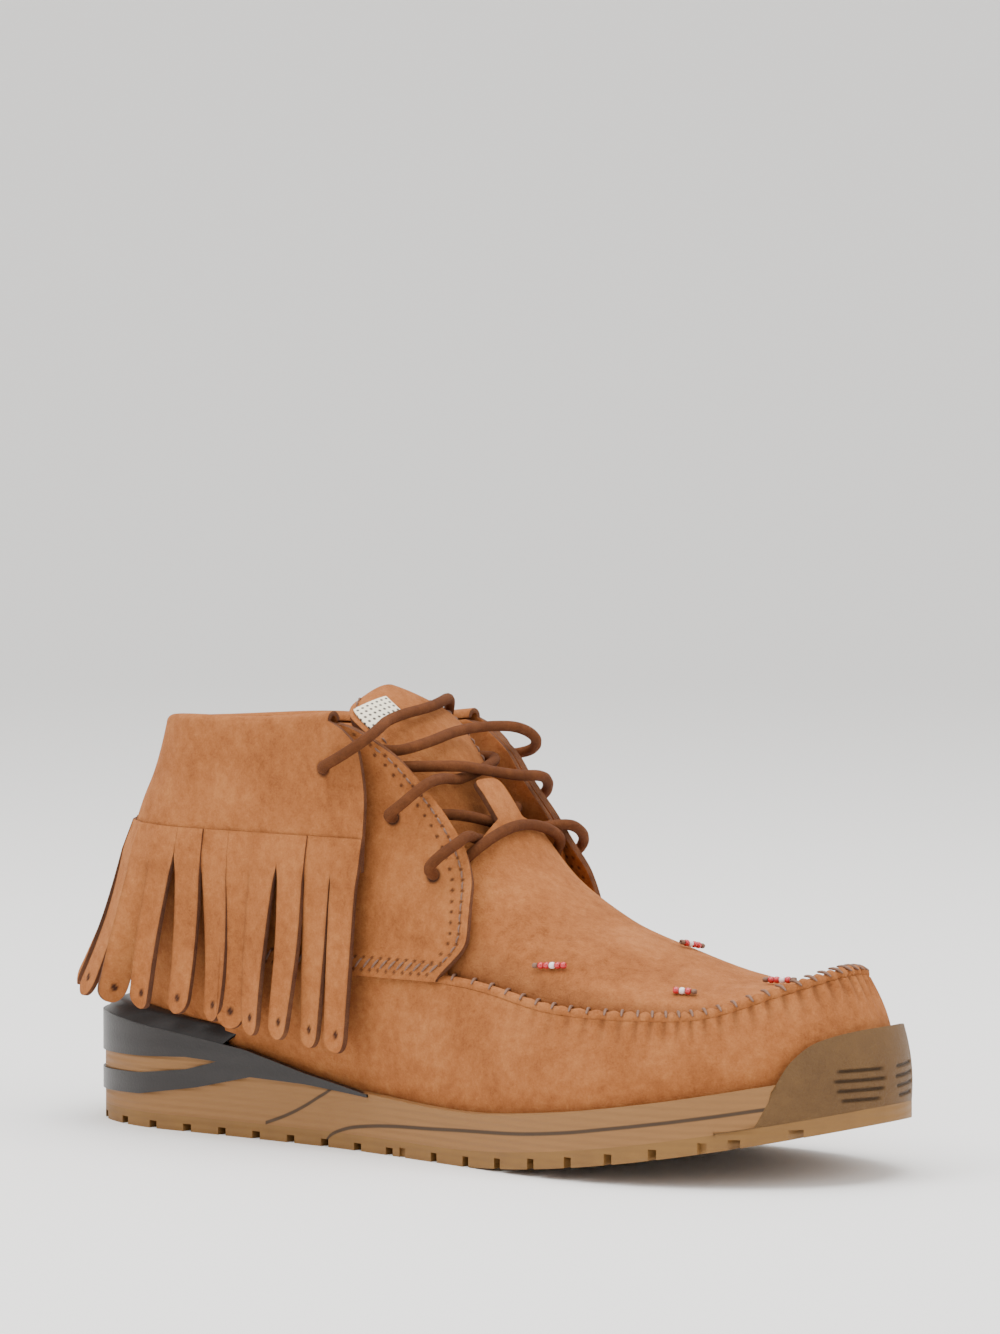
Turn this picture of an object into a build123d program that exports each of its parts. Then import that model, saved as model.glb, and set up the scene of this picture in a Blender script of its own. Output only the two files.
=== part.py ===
from build123d import *
import math
import os

# Right-foot ankle moccasin with a fringed collar on a rubber sole, millimetres.
# +X points to the toe, +Y to the inner side of the foot, +Z up. The origin is on the ground under the
# middle of the shoe's length and width.

os.makedirs("parts", exist_ok=True)

# ---- driving dimensions -------------------------------------------------------------------------
# plan of the sole's rim, from the outer side at the heel, forward round the toe and back
RIM = [
    (-80, -36.5), (-30, -37.5), (20, -45), (56, -51), (88, -49.5), (115, -40), (138, -21), (150, 7),
    (142, 31), (121, 45), (92, 51.5), (56, 50), (20, 42), (-30, 35), (-80, 35.5),
]
RIM_HEEL = [(-115, 35.5), (-140, 24), (-150, -1), (-140, -25), (-115, -36.5)]
# moccasin seam over the same stations: x, y, height
SEAM = [
    (-80, -37.5, 59), (-30, -38.5, 58), (20, -39.5, 56), (56, -42.5, 50.6), (86, -40.5, 50),
    (108, -33, 51.5), (126, -17, 58.5), (134.5, 7, 63), (128, 27, 60), (111, 37, 52), (88, 42, 50),
    (56, 42, 50.6), (20, 39.5, 56), (-30, 38, 58), (-80, 37.5, 59),
]
TOE_SPRING = 19.0  # rise of the sole's underside at the tip of the toe
SPRING_START = 15.0  # the underside is flat behind this x
TOE_TIP = 150.0
SOLE_TOP = [(-150, 30), (-100, 30), (-70, 27), (-28, 19.5), (22, 17), (60, 20.2), (93, 25), (120, 30),
            (150, 36)]
OUTSOLE_THICK = 5.0
LIP = 2.5  # height of the midsole's lip above its bed
LIP_WIDE = 3.4
FEATHER_IN = 4.6  # the upper's lower edge stands this far inside the rim
LEATHER = 2.0  # suede of wrap, vamp, quarters
LINING = 1.2
LINING_FRONT_X = 9.0
LINING_LOW = 34.5
BUMPER_THICK = 2.4
BUMPER_TOP = 47.0

HEEL_ARC_X = -85.0  # behind this x the horizontal sections of the back part close in an arc
HEEL_BACK = [(20, -143.5), (36, -142.5), (50, -138.5), (60, -135), (75, -129.5), (88, -125), (100, -121.5),
             (120, -118.5), (141, -118)]
HALF_WIDE = [(20, 30.5), (28, 31.5), (36, 33.5), (50, 36.5), (58, 38), (75, 38.5), (95, 37.5), (115, 36.5),
             (141, 38)]
# rise of the instep arch of the quarters above the seam, by x
ARCH_HIGH = [(-40, 420), (-20, 203), (-11, 140), (-3, 102), (7, 76), (14, 61), (20, 55)]
QUARTER_FRONT = [(57, 10.5), (71, 20), (86, 18.5), (96, 14), (106, 7), (118, -3), (127, -11), (133, -20),
                 (137, -28), (139, -36)]
COLLAR_TOP = 139.0
PANEL_JOIN_X = -80.0

VAMP_CREST = [(-6, 122.6), (2, 116), (11, 104.3), (23, 90.5), (40, 78.5), (48, 74.5), (67, 68.5), (91, 61),
              (104, 59), (112, 59), (126, 62), (134, 64)]
VAMP_REAR = 11.0
TAB_TIP = 0.0
TAB_HALF = 6.5

TONGUE_BASE_X = 27.0
TONGUE_TOP_X = -41.0
TONGUE_CREST = [(-41, 147), (-30, 141), (-20, 133), (-10, 120.5), (-4, 109.5), (2, 99.2), (10, 90.8),
                (20, 82.5), (27, 77)]
TONGUE_THICK = 3.0

CUT_Z = 90.0  # height of the roots of the fringe strips
STRIPS = 26
STRIP_THICK = 1.6
STRIP_GAP = 0.6
FLAP_FRONT = [(28, -19), (75, -19), (110, -17.5), (129, -20.5), (136, -27), (139.3, -33)]
FLAP_HALF = [(28, 45.5), (60, 43), (90, 41), (120, 39.4), (139.3, 38.7)]
FLAP_BACK = [(28, -150), (44, -148.5), (51, -146), (73, -138), (90, -132.5), (108, -127), (120, -123),
             (139.3, -118.8)]
FLAP_CORNER = 0.09  # extra outward flare of the fringe at the rear corners, per millimetre of drop
STRIP_END = [(-150, 45), (-115, 42), (-82, 38.5), (-55, 35.5), (-30, 31.5), (-18, 31)]
LACE_D = 3.6
HOLE_D = 4.8
HOLES = [(5, 89.4), (-11.3, 107), (-34.5, 121.7)]  # x and height of the lace holes of each quarter
SHANK_LONG = 90.0
SHANK_WIDE = 14.0
SHANK_THICK = 1.4
SHANK_X = -58.0
SHANK_Z = 12.8
BOARD_THICK = 2.0
FOOTBED_THICK = 4.0
BEAD_D = 2.2
BEAD_LONG = 1.7
BEAD_PITCH = 1.9
BEAD_CLEAR = 1.5  # over the vamp, which curves down from the row's tangent plane


# lace from the tail tucked in at the inner side to the tail tucked in at the outer side; "under" and "over"
# name its crossings on the tongue
LACE_ROUTE = [
    (-43, 29.0, 106), (-42.5, 29.4, 117), (-41, 29.2, 127),
    (-37, 28.6, 136), (-31.5, 22, 142), (-26.2, 10, 140.8), (-22.8, -2, 139.6), (-23, -14, 138.4),
    (-21.2, -25, 136.8), (-17.8, -33, 135), (-17.0, -42.0, 131.5), (-24, -45.2, 126.4),
    (-34.3, -44.6, 121.6), (-34.7, -30.0, 121.8),  # third hole, outer side, through the flap
    (-26, -28.0, 122.4), (-17, -26.3, 122.3), (-9.6, -22.5, 122.6), (-4.1, -8, 122.2), (-3.1, 0, 120.7),  # over
    (-2.4, 8, 119.4), (0.2, 18, 117.6), (1.5, 28.4, 117.3), (-0.6, 34.6, 114.2), (-4.9, 38.8, 110.6),
    (-10.2, 39.9, 107.6), (-12.6, 28.1, 106.1),  # second hole, inner side
    (-6.5, 26, 107), (-2, 17.5, 105.6), (2.0, 8, 103), (4.0, 0, 100.4), (5.8, -8, 98.6),  # under, behind tab
    (8.6, -17, 100), (12.7, -26.5, 102.2), (13.3, -32.6, 100.1), (10.6, -39.4, 96),
    (6.4, -40.4, 91.4), (3.9, -28.6, 87.8),  # first hole, outer side
    (7.6, -25.8, 91.8), (13.7, -22.9, 97.7), (14.5, -12.5, 102.1), (14.5, 0, 104.2),
    (14.5, 12.5, 102.1), (13.7, 22.9, 97.7), (7.6, 25.8, 91.8),
    (3.9, 28.6, 87.8), (6.4, 40.4, 91.4),  # first hole, inner side
    (10.6, 39.4, 96), (13.3, 32.6, 100.1), (12.7, 26.5, 102.2), (9.1, 17, 101.5), (8.6, 8, 100.7),
    (7.0, 0, 102.9), (5.1, -8, 105.4), (1.0, -17.5, 107.6), (-6.5, -26, 107.4),  # over, behind the tab
    (-12.6, -28.1, 106.1), (-10.2, -39.9, 107.6),  # second hole, outer side
    (-5.2, -38.9, 111.2), (-1.6, -34.6, 115.8), (-0.6, -29, 118.6), (-3.4, -18, 119), (-5.8, -8, 117.5),
    (-6.5, 0, 118.8), (-7.3, 8, 120.2), (-10.5, 18.5, 121.9), (-16, 25.5, 122.7), (-25.5, 28, 122.4),  # under
    (-34.7, 30.0, 121.8), (-34.3, 43.6, 121.6),  # third hole, inner side, through the flap
    (-24, 45.5, 121.8), (-14, 45.2, 124), (-9.8, 40.5, 128.6), (-11.5, 32.5, 132.4), (-14.5, 22, 133),
    (-14.8, 10, 132.8), (-14.2, 0, 132), (-12.8, -10, 130.4), (-12.5, -20, 128.9), (-15.6, -26.6, 127.4),
    (-22, -28.7, 127.8), (-31, -29.2, 128.2), (-39, -29.4, 124), (-43, -29.4, 116), (-44.5, -29.2, 107),
]
# rows of seed beads: place on the vamp (t, v), turn of the row in its tangent plane, colours in order
BEAD_ROWS = [
    (0.2, -0.84, 20, "krrwrr"),
    (0.315, -0.72, 25, "rwrk"),
    (0.245, 0.35, 80, "krwrrk"),
    (0.375, -0.05, 10, "krrwrk"),
]


# ---- formulas -----------------------------------------------------------------------------------
def along(x, stations):
    """Value at x through (x, value) stations: cubic pieces that never overshoot a station."""
    if x <= stations[0][0]:
        return stations[0][1]
    if x >= stations[-1][0]:
        return stations[-1][1]
    last = len(stations) - 1
    i = max(k for k in range(last) if stations[k][0] <= x)
    secants = [
        (stations[k + 1][1] - stations[k][1]) / (stations[k + 1][0] - stations[k][0]) for k in range(last)
    ]

    def slope(k):
        if k == 0:
            return secants[0]
        if k == last:
            return secants[-1]
        if secants[k - 1] * secants[k] <= 0:
            return 0.0
        return 2 * secants[k - 1] * secants[k] / (secants[k - 1] + secants[k])

    wide = stations[i + 1][0] - stations[i][0]
    t = (x - stations[i][0]) / wide
    rise = stations[i][1] * (2 * t**3 - 3 * t**2 + 1) + stations[i + 1][1] * (3 * t**2 - 2 * t**3)
    return rise + wide * (slope(i) * (t**3 - 2 * t**2 + t) + slope(i + 1) * (t**3 - t**2))


def curve(points, t):
    """Point at t (0 to 1) on a Catmull-Rom curve through the points, evenly spaced in t."""
    last = len(points) - 1
    place = min(max(t, 0.0), 1.0) * last
    i = min(int(place), last - 1)
    f = place - i
    p1 = points[i]
    p2 = points[i + 1]
    p0 = points[i - 1] if i > 0 else [2 * a - b for a, b in zip(p1, p2)]
    p3 = points[i + 2] if i + 2 <= last else [2 * b - a for a, b in zip(p1, p2)]
    return [
        0.5 * (2 * b + (c - a) * f + (2 * a - 5 * b + 4 * c - d) * f**2 + (3 * b - a - 3 * c + d) * f**3)
        for a, b, c, d in zip(p0, p1, p2, p3)
    ]


def spring(x):
    """Height of the sole's underside: flat, then a rising power curve to the toe."""
    if x <= SPRING_START:
        return 0.0
    return TOE_SPRING * ((x - SPRING_START) / (TOE_TIP - SPRING_START)) ** 1.6


def rim(t):
    """Rim point and its outward direction in plan, t from the outer rear join round the toe to the inner."""
    x, y = curve(RIM, t)
    ax, ay = curve(RIM, t - 0.004)
    bx, by = curve(RIM, t + 0.004)
    size = math.hypot(bx - ax, by - ay)
    return x, y, (by - ay) / size, -(bx - ax) / size


def normal_of(surface, u, v, step=0.002):
    """Unit normal of a surface function at (u, v), from its two tangents."""
    a = Vector(*surface(u + step, v)) - Vector(*surface(u - step, v))
    b = Vector(*surface(u, v + step)) - Vector(*surface(u, v - step))
    return a.cross(b).normalized()


def moved_out(surface, u, v, out):
    """Point of the surface moved along its normal by out."""
    return Vector(*surface(u, v)) + normal_of(surface, u, v) * out


def shell(surface, u_range, v_range, out_from, out_to, rows):
    """Solid between two offsets of a surface: lofted sections of constant u, closed by ruled ends."""
    sections = []
    ends = []
    shares = [j / rows[1] for j in range(rows[1] + 1)]
    heights = [v_range[0] + (v_range[1] - v_range[0]) * share for share in shares]
    for i in range(rows[0] + 1):
        u = u_range[0] + (u_range[1] - u_range[0]) * i / rows[0]
        near = [moved_out(surface, u, v, out_from) for v in heights]
        far = [moved_out(surface, u, v, out_to) for v in heights]
        near_edge = Edge.make_spline(near, parameters=shares)
        far_edge = Edge.make_spline(far, parameters=shares)
        far_back = Edge.make_spline(far[::-1], parameters=shares)
        bottom = Edge.make_line(near[0], far[0])
        top = Edge.make_line(near[-1], far[-1])
        sections.append(Wire([near_edge, top, far_back, bottom]))
        if i in (0, rows[0]):
            ends.append(Face.make_surface_from_curves(near_edge, far_edge))
    sides = Solid.make_loft(sections).faces()
    return Solid(Shell(sides + ShapeList(ends)))


def wrap_surface(t, v):
    """Side wall: straight from the feather line to the seam, plus an outward bulge, sine over v."""
    x, y, nx, ny = rim(t)
    sx, sy, sz = curve(SEAM, t)
    fx = x - nx * FEATHER_IN
    fy = y - ny * FEATHER_IN
    fz = along(fx, SOLE_TOP) - LIP + 0.6
    bulge = 2.4 * math.sin(math.pi * v)
    return (fx + (sx - fx) * v + nx * bulge, fy + (sy - fy) * v + ny * bulge, fz + (sz - fz) * v)


def half_width(x, z):
    """Half width of the back part at (x, z): a side profile that closes over the instep as an arch."""
    wide = along(z, HALF_WIDE)
    high = along(x, ARCH_HIGH)
    lift = max(z - 57.0, 0.0) / high
    return wide * math.sqrt(max(1 - lift * lift, 0.02))


def back_surface(u, z):
    """Back part, u -1 (inner front edge) through 0 (heel) to 1 (outer front edge), height z."""
    side = 1 if u < 0 else -1
    reach = abs(u)
    arc_share = 0.42
    back = along(z, HEEL_BACK)
    if reach < arc_share:
        turn = reach / arc_share * math.pi / 2
        x = HEEL_ARC_X - (HEEL_ARC_X - back) * math.cos(turn)
        return (x, side * half_width(HEEL_ARC_X, z) * math.sin(turn), z)
    front = along(z, QUARTER_FRONT)
    x = HEEL_ARC_X + (front - HEEL_ARC_X) * (reach - arc_share) / (1 - arc_share)
    return (x, side * half_width(x, z), z)


def vamp_surface(t, v):
    """Vamp: straight line between the seam's two sides at t and 1 - t, plus an arch to the crest."""
    ends = []
    for place in (t, 1 - t):
        x, y, z = curve(SEAM, place)
        ax, ay, az = curve(SEAM, place - 0.004)
        bx, by, bz = curve(SEAM, place + 0.004)
        size = math.hypot(bx - ax, by - ay)
        ends.append((x - (by - ay) / size * 3.2, y + (bx - ax) / size * 3.2, z - 0.3))
    share = (1 + v) / 2
    x = ends[0][0] + (ends[1][0] - ends[0][0]) * share
    y = ends[0][1] + (ends[1][1] - ends[0][1]) * share
    low = ends[0][2] + (ends[1][2] - ends[0][2]) * share
    crest = max(along(x, VAMP_CREST) - low, 0.0)
    return (x, y, low + crest * max(1 - abs(v) ** 2.3, 0.0) ** 0.6)


def flap_surface(u, z):
    """Inner face of the hanging collar flap and its strips: wider downwards, most at the rear corners."""
    side = 1 if u < 0 else -1
    reach = abs(u)
    arc_share = 0.47
    half = along(z, FLAP_HALF)
    if reach < arc_share:
        turn = reach / arc_share * math.pi / 2
        flare = FLAP_CORNER * (COLLAR_TOP + 0.3 - z) * math.sin(2 * turn) ** 2
        x = HEEL_ARC_X - (HEEL_ARC_X - along(z, FLAP_BACK)) * math.cos(turn) - flare * math.cos(turn)
        return (x, side * (half * math.sin(turn) + flare * math.sin(turn)), z)
    front = along(z, FLAP_FRONT)
    x = HEEL_ARC_X + (front - HEEL_ARC_X) * (reach - arc_share) / (1 - arc_share)
    return (x, side * half, z)


def fold_surface(u, w):
    """The flap with its fold: up to the top (w 0 to 1), then half a circle in over the collar (1 to 2)."""
    top = COLLAR_TOP + 0.3
    if w < 1:
        return flap_surface(u, CUT_Z + 0.5 + (top - CUT_Z - 0.5) * w)
    x, y, z = flap_surface(u, top)
    out = normal_of(flap_surface, u, top - 0.01)
    turn = math.pi * (w - 1)
    inward = 1.6 - 1.6 * math.cos(turn)
    return (x - out.X * inward, y - out.Y * inward, z + 1.6 * math.sin(turn))


def tongue_surface(u, v):
    """Tongue: u from the base to the top along the crest, v across, its sides falling as a parabola."""
    x = TONGUE_BASE_X + (TONGUE_TOP_X - TONGUE_BASE_X) * u
    wide = 20 + 7 * u
    if u > 0.8:
        wide *= math.sqrt(max(1 - ((u - 0.8) / 0.21) ** 2, 0.02))
    drop = (10 - 3 * u) * v * v
    return (x - drop * 0.5, -wide * v, along(x, TONGUE_CREST) - drop * 0.7)


def lining_surface(u, z):
    """Outer face of the lining: just inside the quarters, and further in behind the heel counter."""
    inward = LEATHER + 0.45
    toward_heel = min(max((0.5 - abs(u)) / 0.12, 0.0), 1.0)
    inward += 1.5 * toward_heel**2 * (3 - 2 * toward_heel)
    return tuple(moved_out(back_surface, u, z, -inward))


def bumper_surface(t, v):
    """Outer face of the toe bumper: up from the outsole's top at the rim, leaning in as v squared."""
    x, y, nx, ny = rim(t)
    low = spring(x) + OUTSOLE_THICK + 0.05
    lean = 3.0 * v * v
    return (x - nx * lean, y - ny * lean, low + (BUMPER_TOP + 1.5 - low) * v)


# ---- shared solids ------------------------------------------------------------------------------
def profile(points):
    """Side profile from corner points in the XZ plane, extruded right across the shoe."""
    with BuildPart() as block:
        with BuildSketch(Plane.XZ):
            with BuildLine():
                Polyline(*points, close=True)
            make_face()
        extrude(amount=80, both=True)
    return block.part


def between(low, high, x_from, x_to, steps=18):
    """Solid right across the shoe between two height functions of x."""
    xs = [x_from + (x_to - x_from) * i / steps for i in range(steps + 1)]
    with BuildPart() as block:
        with BuildSketch(Plane.XZ):
            with BuildLine():
                Spline(*[(x, low(x)) for x in xs])
                Spline(*[(x, high(x)) for x in xs])
                Line((x_from, low(x_from)), (x_from, high(x_from)))
                Line((x_to, low(x_to)), (x_to, high(x_to)))
            make_face()
        extrude(amount=80, both=True)
    return block.part


def plan(inset, low=-5, high=70):
    """Upright block of the sole's outline, each point of it moved in square to the outline by inset."""
    loop = RIM + RIM_HEEL
    count = 60
    points = []
    for i in range(count):
        place = i / count * len(loop)
        k = int(place)
        near = [loop[(k + j) % len(loop)] for j in (-1, 0, 1, 2)]
        share = (1 + place - k) / 3
        x, y = curve(near, share)
        ax, ay = curve(near, share - 0.02)
        bx, by = curve(near, share + 0.02)
        size = math.hypot(bx - ax, by - ay)
        points.append((x - (by - ay) / size * inset, y + (bx - ax) / size * inset))
    with BuildPart() as block:
        with BuildSketch(Plane.XY.offset(low)):
            with BuildLine():
                Spline(*points, periodic=True)
            make_face()
        extrude(amount=high - low)
    return block.part


def outsole_top(x):
    return spring(x) + OUTSOLE_THICK


def bed(x):
    """Top face of the midsole inside its lip."""
    return along(x, SOLE_TOP) - LIP


def footbed_top(x):
    return bed(x) + BOARD_THICK + FOOTBED_THICK


CLIP_SIDE = [
    (-153, 36), (-134, 36), (-104, 33), (-70, 28.7), (-45, 23), (-18, 18.5), (-18, 17.6), (-45, 19.5),
    (-68, 20), (-90, 15), (-115, 11), (-153, 9.5), (-153, 16.5), (-115, 18), (-95, 20.5), (-82, 24),
    (-95, 24.6), (-115, 23.5), (-153, 22.5),
]
BUMPER_SIDE = [(127, 12), (130, 30), (134.5, 40), (141, 46), (153, 48.5), (153, 12)]

UPWARD = (Align.CENTER, Align.CENTER, Align.MIN)

# ---- sole unit ----------------------------------------------------------------------------------
rim_block = plan(0)

with BuildPart() as outsole:
    add(rim_block)
    add(between(lambda x: spring(x) - 0.3, outsole_top, -152, 152), mode=Mode.INTERSECT)
    # the ground plane cuts the underside flat behind the toe spring
    Box(400, 200, 20, align=(Align.CENTER, Align.CENTER, Align.MAX), mode=Mode.SUBTRACT)
    for i in range(20):
        groove_x = -138 + i * 14.4
        with Locations((groove_x, 0, spring(groove_x))):
            Box(3.2, 84, 5.0, mode=Mode.SUBTRACT)
    for i in range(20):
        for side in (-1, 1):
            notch_x = -132 + i * 14.4
            with Locations((notch_x, side * 52, spring(notch_x))):
                Box(2.6, 24, 6.0, mode=Mode.SUBTRACT)
outsole.part.label = "outsole"
export_step(outsole.part, "parts/outsole.step")

with BuildPart() as clip_zone:
    add(profile(CLIP_SIDE))
    add(plan(-5, 0, 60), mode=Mode.INTERSECT)
    add(plan(1.6, -5, 70), mode=Mode.SUBTRACT)

with BuildPart() as bumper_zone:
    add(profile(BUMPER_SIDE))
    add(plan(BUMPER_THICK + 1.0), mode=Mode.SUBTRACT)

with BuildPart() as midsole:
    add(rim_block)
    add(between(outsole_top, lambda x: along(x, SOLE_TOP), -152, 152), mode=Mode.INTERSECT)
    add(between(bed, lambda x: 70, -152, 152) & plan(LIP_WIDE), mode=Mode.SUBTRACT)
    add(clip_zone.part, mode=Mode.SUBTRACT)
    add(bumper_zone.part, mode=Mode.SUBTRACT)
    with Locations((SHANK_X, 0, SHANK_Z)):
        Box(SHANK_LONG + 0.4, SHANK_WIDE + 0.4, 30.0, align=UPWARD, mode=Mode.SUBTRACT)
midsole.part.label = "midsole"
export_step(midsole.part, "parts/midsole.step")

with BuildPart() as heel_stabilizer:
    add(clip_zone.part)
    add(plan(-0.8, 0, 60), mode=Mode.INTERSECT)
heel_stabilizer.part.label = "heel_stabilizer"
export_step(heel_stabilizer.part, "parts/heel_stabilizer.step")

with BuildPart() as toe_bumper:
    add(shell(bumper_surface, (0.38, 0.62), (0, 1), 0.0, -BUMPER_THICK, (24, 5)))
    add(profile(BUMPER_SIDE), mode=Mode.INTERSECT)
toe_bumper.part.label = "toe_bumper"
export_step(toe_bumper.part, "parts/toe_bumper.step")

with BuildPart() as shank:
    with Locations((SHANK_X, 0, SHANK_Z)):
        Box(SHANK_LONG, SHANK_WIDE, SHANK_THICK, align=UPWARD)
shank.part.label = "shank"
export_step(shank.part, "parts/shank.step")

with BuildPart() as insole_board:
    add(plan(11.5))
    add(between(lambda x: bed(x), lambda x: bed(x) + BOARD_THICK, -152, 152), mode=Mode.INTERSECT)
insole_board.part.label = "insole_board"
export_step(insole_board.part, "parts/insole_board.step")

with BuildPart() as footbed:
    add(plan(14.0))
    add(
        between(lambda x: bed(x) + BOARD_THICK + 0.1, footbed_top, -152, 152),
        mode=Mode.INTERSECT,
    )
footbed.part.label = "footbed"
export_step(footbed.part, "parts/footbed.step")

# ---- upper --------------------------------------------------------------------------------------
with BuildPart() as moc_wrap:
    add(shell(wrap_surface, (0, 1), (0, 1), 0, -LEATHER, (48, 8)))
moc_wrap.part.label = "moc_wrap"
export_step(moc_wrap.part, "parts/moc_wrap.step")

with BuildPart() as heel_panel:
    add(shell(back_surface, (-0.46, 0.46), (30, COLLAR_TOP), 0, -LEATHER, (24, 10)))
    seam_x = PANEL_JOIN_X - 0.4
    add(profile([(-160, 0), (seam_x, 0), (seam_x, 150), (-160, 150)]), mode=Mode.INTERSECT)
heel_panel.part.label = "heel_panel"
export_step(heel_panel.part, "parts/heel_panel.step")

with BuildPart() as heel_counter:
    add(shell(back_surface, (-0.37, 0.37), (33, 78), -LEATHER - 0.35, -LEATHER - 1.35, (20, 6)))
heel_counter.part.label = "heel_counter"
export_step(heel_counter.part, "parts/heel_counter.step")


def lace_holes(side):
    """Planes of one quarter's lace holes, square to its surface; side 1 is the outer side."""
    planes = []
    for x, z in HOLES:
        reach = side * (0.42 + 0.58 * (x - HEEL_ARC_X) / (along(z, QUARTER_FRONT) - HEEL_ARC_X))
        planes.append(Plane(origin=Vector(*back_surface(reach, z)), z_dir=normal_of(back_surface, reach, z)))
    return planes


def pierce(planes, diameter, long=30):
    """Cut a round hole through the part at each plane."""
    with Locations(*planes):
        Cylinder(diameter / 2, long, mode=Mode.SUBTRACT)


def quarter(name, side):
    """Quarter from the heel panel to its front edge, above the moccasin seam."""
    limits = (-1, -0.4) if side < 0 else (0.4, 1)
    with BuildPart() as piece:
        add(shell(back_surface, limits, (59.6, COLLAR_TOP), 0, -LEATHER, (14, 12)))
        add(profile([(PANEL_JOIN_X, 0), (40, 0), (40, 150), (PANEL_JOIN_X, 150)]), mode=Mode.INTERSECT)
        pierce(lace_holes(side), HOLE_D)
    piece.part.label = name
    export_step(piece.part, "parts/" + name + ".step")
    return piece.part


quarter_outer = quarter("quarter_outer", 1)
quarter_inner = quarter("quarter_inner", -1)

with BuildPart() as quarter_lining:
    add(shell(lining_surface, (-1, 1), (LINING_LOW, COLLAR_TOP - 0.6), 0, -LINING, (40, 12)))
    with Locations((LINING_FRONT_X, 0, 0)):
        Box(80, 120, 300, align=(Align.MIN, Align.CENTER, Align.CENTER), mode=Mode.SUBTRACT)
    pierce(lace_holes(-1), HOLE_D)
    pierce(lace_holes(1), HOLE_D)
quarter_lining.part.label = "quarter_lining"
export_step(quarter_lining.part, "parts/quarter_lining.step")

with BuildPart() as vamp:
    add(shell(vamp_surface, (0.10, 0.492), (-0.99, 0.99), 0, -LEATHER, (32, 16)))
    with BuildSketch(Plane.XY):
        with BuildLine():
            Polyline(
                (-60, -60), (VAMP_REAR, -60), (VAMP_REAR, -TAB_HALF), (TAB_TIP, -TAB_HALF), (TAB_TIP, TAB_HALF),
                (VAMP_REAR, TAB_HALF), (VAMP_REAR, 60), (-60, 60), close=True,
            )
        make_face()
    extrude(amount=200, mode=Mode.SUBTRACT)
vamp.part.label = "vamp"
export_step(vamp.part, "parts/vamp.step")

with BuildPart() as tongue:
    add(shell(tongue_surface, (0, 0.99), (-1, 1), 0, -TONGUE_THICK, (20, 8)))
tongue.part.label = "tongue"
export_step(tongue.part, "parts/tongue.step")

with BuildPart() as tongue_lining:
    add(shell(tongue_surface, (0.02, 0.97), (-0.96, 0.96), -TONGUE_THICK - 0.1, -TONGUE_THICK - 1.0, (20, 8)))
tongue_lining.part.label = "tongue_lining"
export_step(tongue_lining.part, "parts/tongue_lining.step")

with BuildPart() as tongue_label:
    add(shell(tongue_surface, (0.78, 0.93), (0.2, 0.8), 0.1, 0.9, (4, 4)))
tongue_label.part.label = "tongue_label"
export_step(tongue_label.part, "parts/tongue_label.step")

# ---- fringe -------------------------------------------------------------------------------------
with BuildPart() as fringe_collar:
    add(shell(fold_surface, (-1, 1), (0, 2), 0, 1.6, (48, 20)))
    with Locations(lace_holes(-1)[2], lace_holes(1)[2]):
        Cylinder(HOLE_D / 2, 30, mode=Mode.SUBTRACT)
fringe_collar.part.label = "fringe_collar"
export_step(fringe_collar.part, "parts/fringe_collar.step")


def strip_edges(count):
    """u of the cuts between strips, at equal distances along the flap at the root height."""
    fine = 400
    places = [-1 + 2 * i / fine for i in range(fine + 1)]
    points = [Vector(*flap_surface(u, CUT_Z)) for u in places]
    lengths = [0.0]
    for a, b in zip(points, points[1:]):
        lengths.append(lengths[-1] + (b - a).length)
    table = list(zip(lengths, places))
    return [along(lengths[-1] * i / count, table) for i in range(count + 1)], lengths[-1] / count


edges_u, strip_wide = strip_edges(STRIPS)
print("strip width", round(strip_wide, 2))
for k in range(STRIPS):
    middle_u = (edges_u[k] + edges_u[k + 1]) / 2
    trim = STRIP_GAP / 2 / strip_wide * (edges_u[k + 1] - edges_u[k])
    end_z = along(flap_surface(middle_u, CUT_Z)[0], STRIP_END)
    name = f"fringe_{STRIPS - k:02d}"
    with BuildPart() as strip:
        add(
            shell(
                flap_surface, (edges_u[k] + trim, edges_u[k + 1] - trim), (end_z, CUT_Z - 0.5), 0, STRIP_THICK,
                (3, 6),
            )
        )
    strip.part.label = name
    export_step(strip.part, "parts/" + name + ".step")
    root = Vector(*flap_surface(middle_u, CUT_Z))
    out = normal_of(flap_surface, middle_u, CUT_Z)
    print(name, [round(v, 2) for v in root], [round(v, 3) for v in out], round(end_z, 1))


# ---- lace and beads -----------------------------------------------------------------------------
def bend_radii(route):
    """Radius at each corner: 0.45 of the shorter run beside it over the tangent of half the turn."""
    radii = []
    for a, b, c in zip(route, route[1:], route[2:]):
        before = Vector(*b) - Vector(*a)
        after = Vector(*c) - Vector(*b)
        turn = math.radians(before.get_angle(after))
        radii.append(0.45 * min(before.length, after.length) / math.tan(turn / 2))
    return radii


radii = bend_radii(LACE_ROUTE)
with BuildPart() as lace:
    with BuildLine() as lace_line:
        FilletPolyline(*LACE_ROUTE, radius=radii)
    with BuildSketch(Plane(origin=lace_line.line @ 0, z_dir=lace_line.line % 0)):
        Circle(LACE_D / 2)
    sweep()
lace.part.label = "lace"
export_step(lace.part, "parts/lace.step")
lace_long = lace_line.wires()[0].length
print("lace radii", [round(r, 1) for r in radii])
section = math.pi * LACE_D**2 / 4
print("lace length", round(lace_long, 1), "volume over section times length", lace.part.volume / (lace_long * section))


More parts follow.
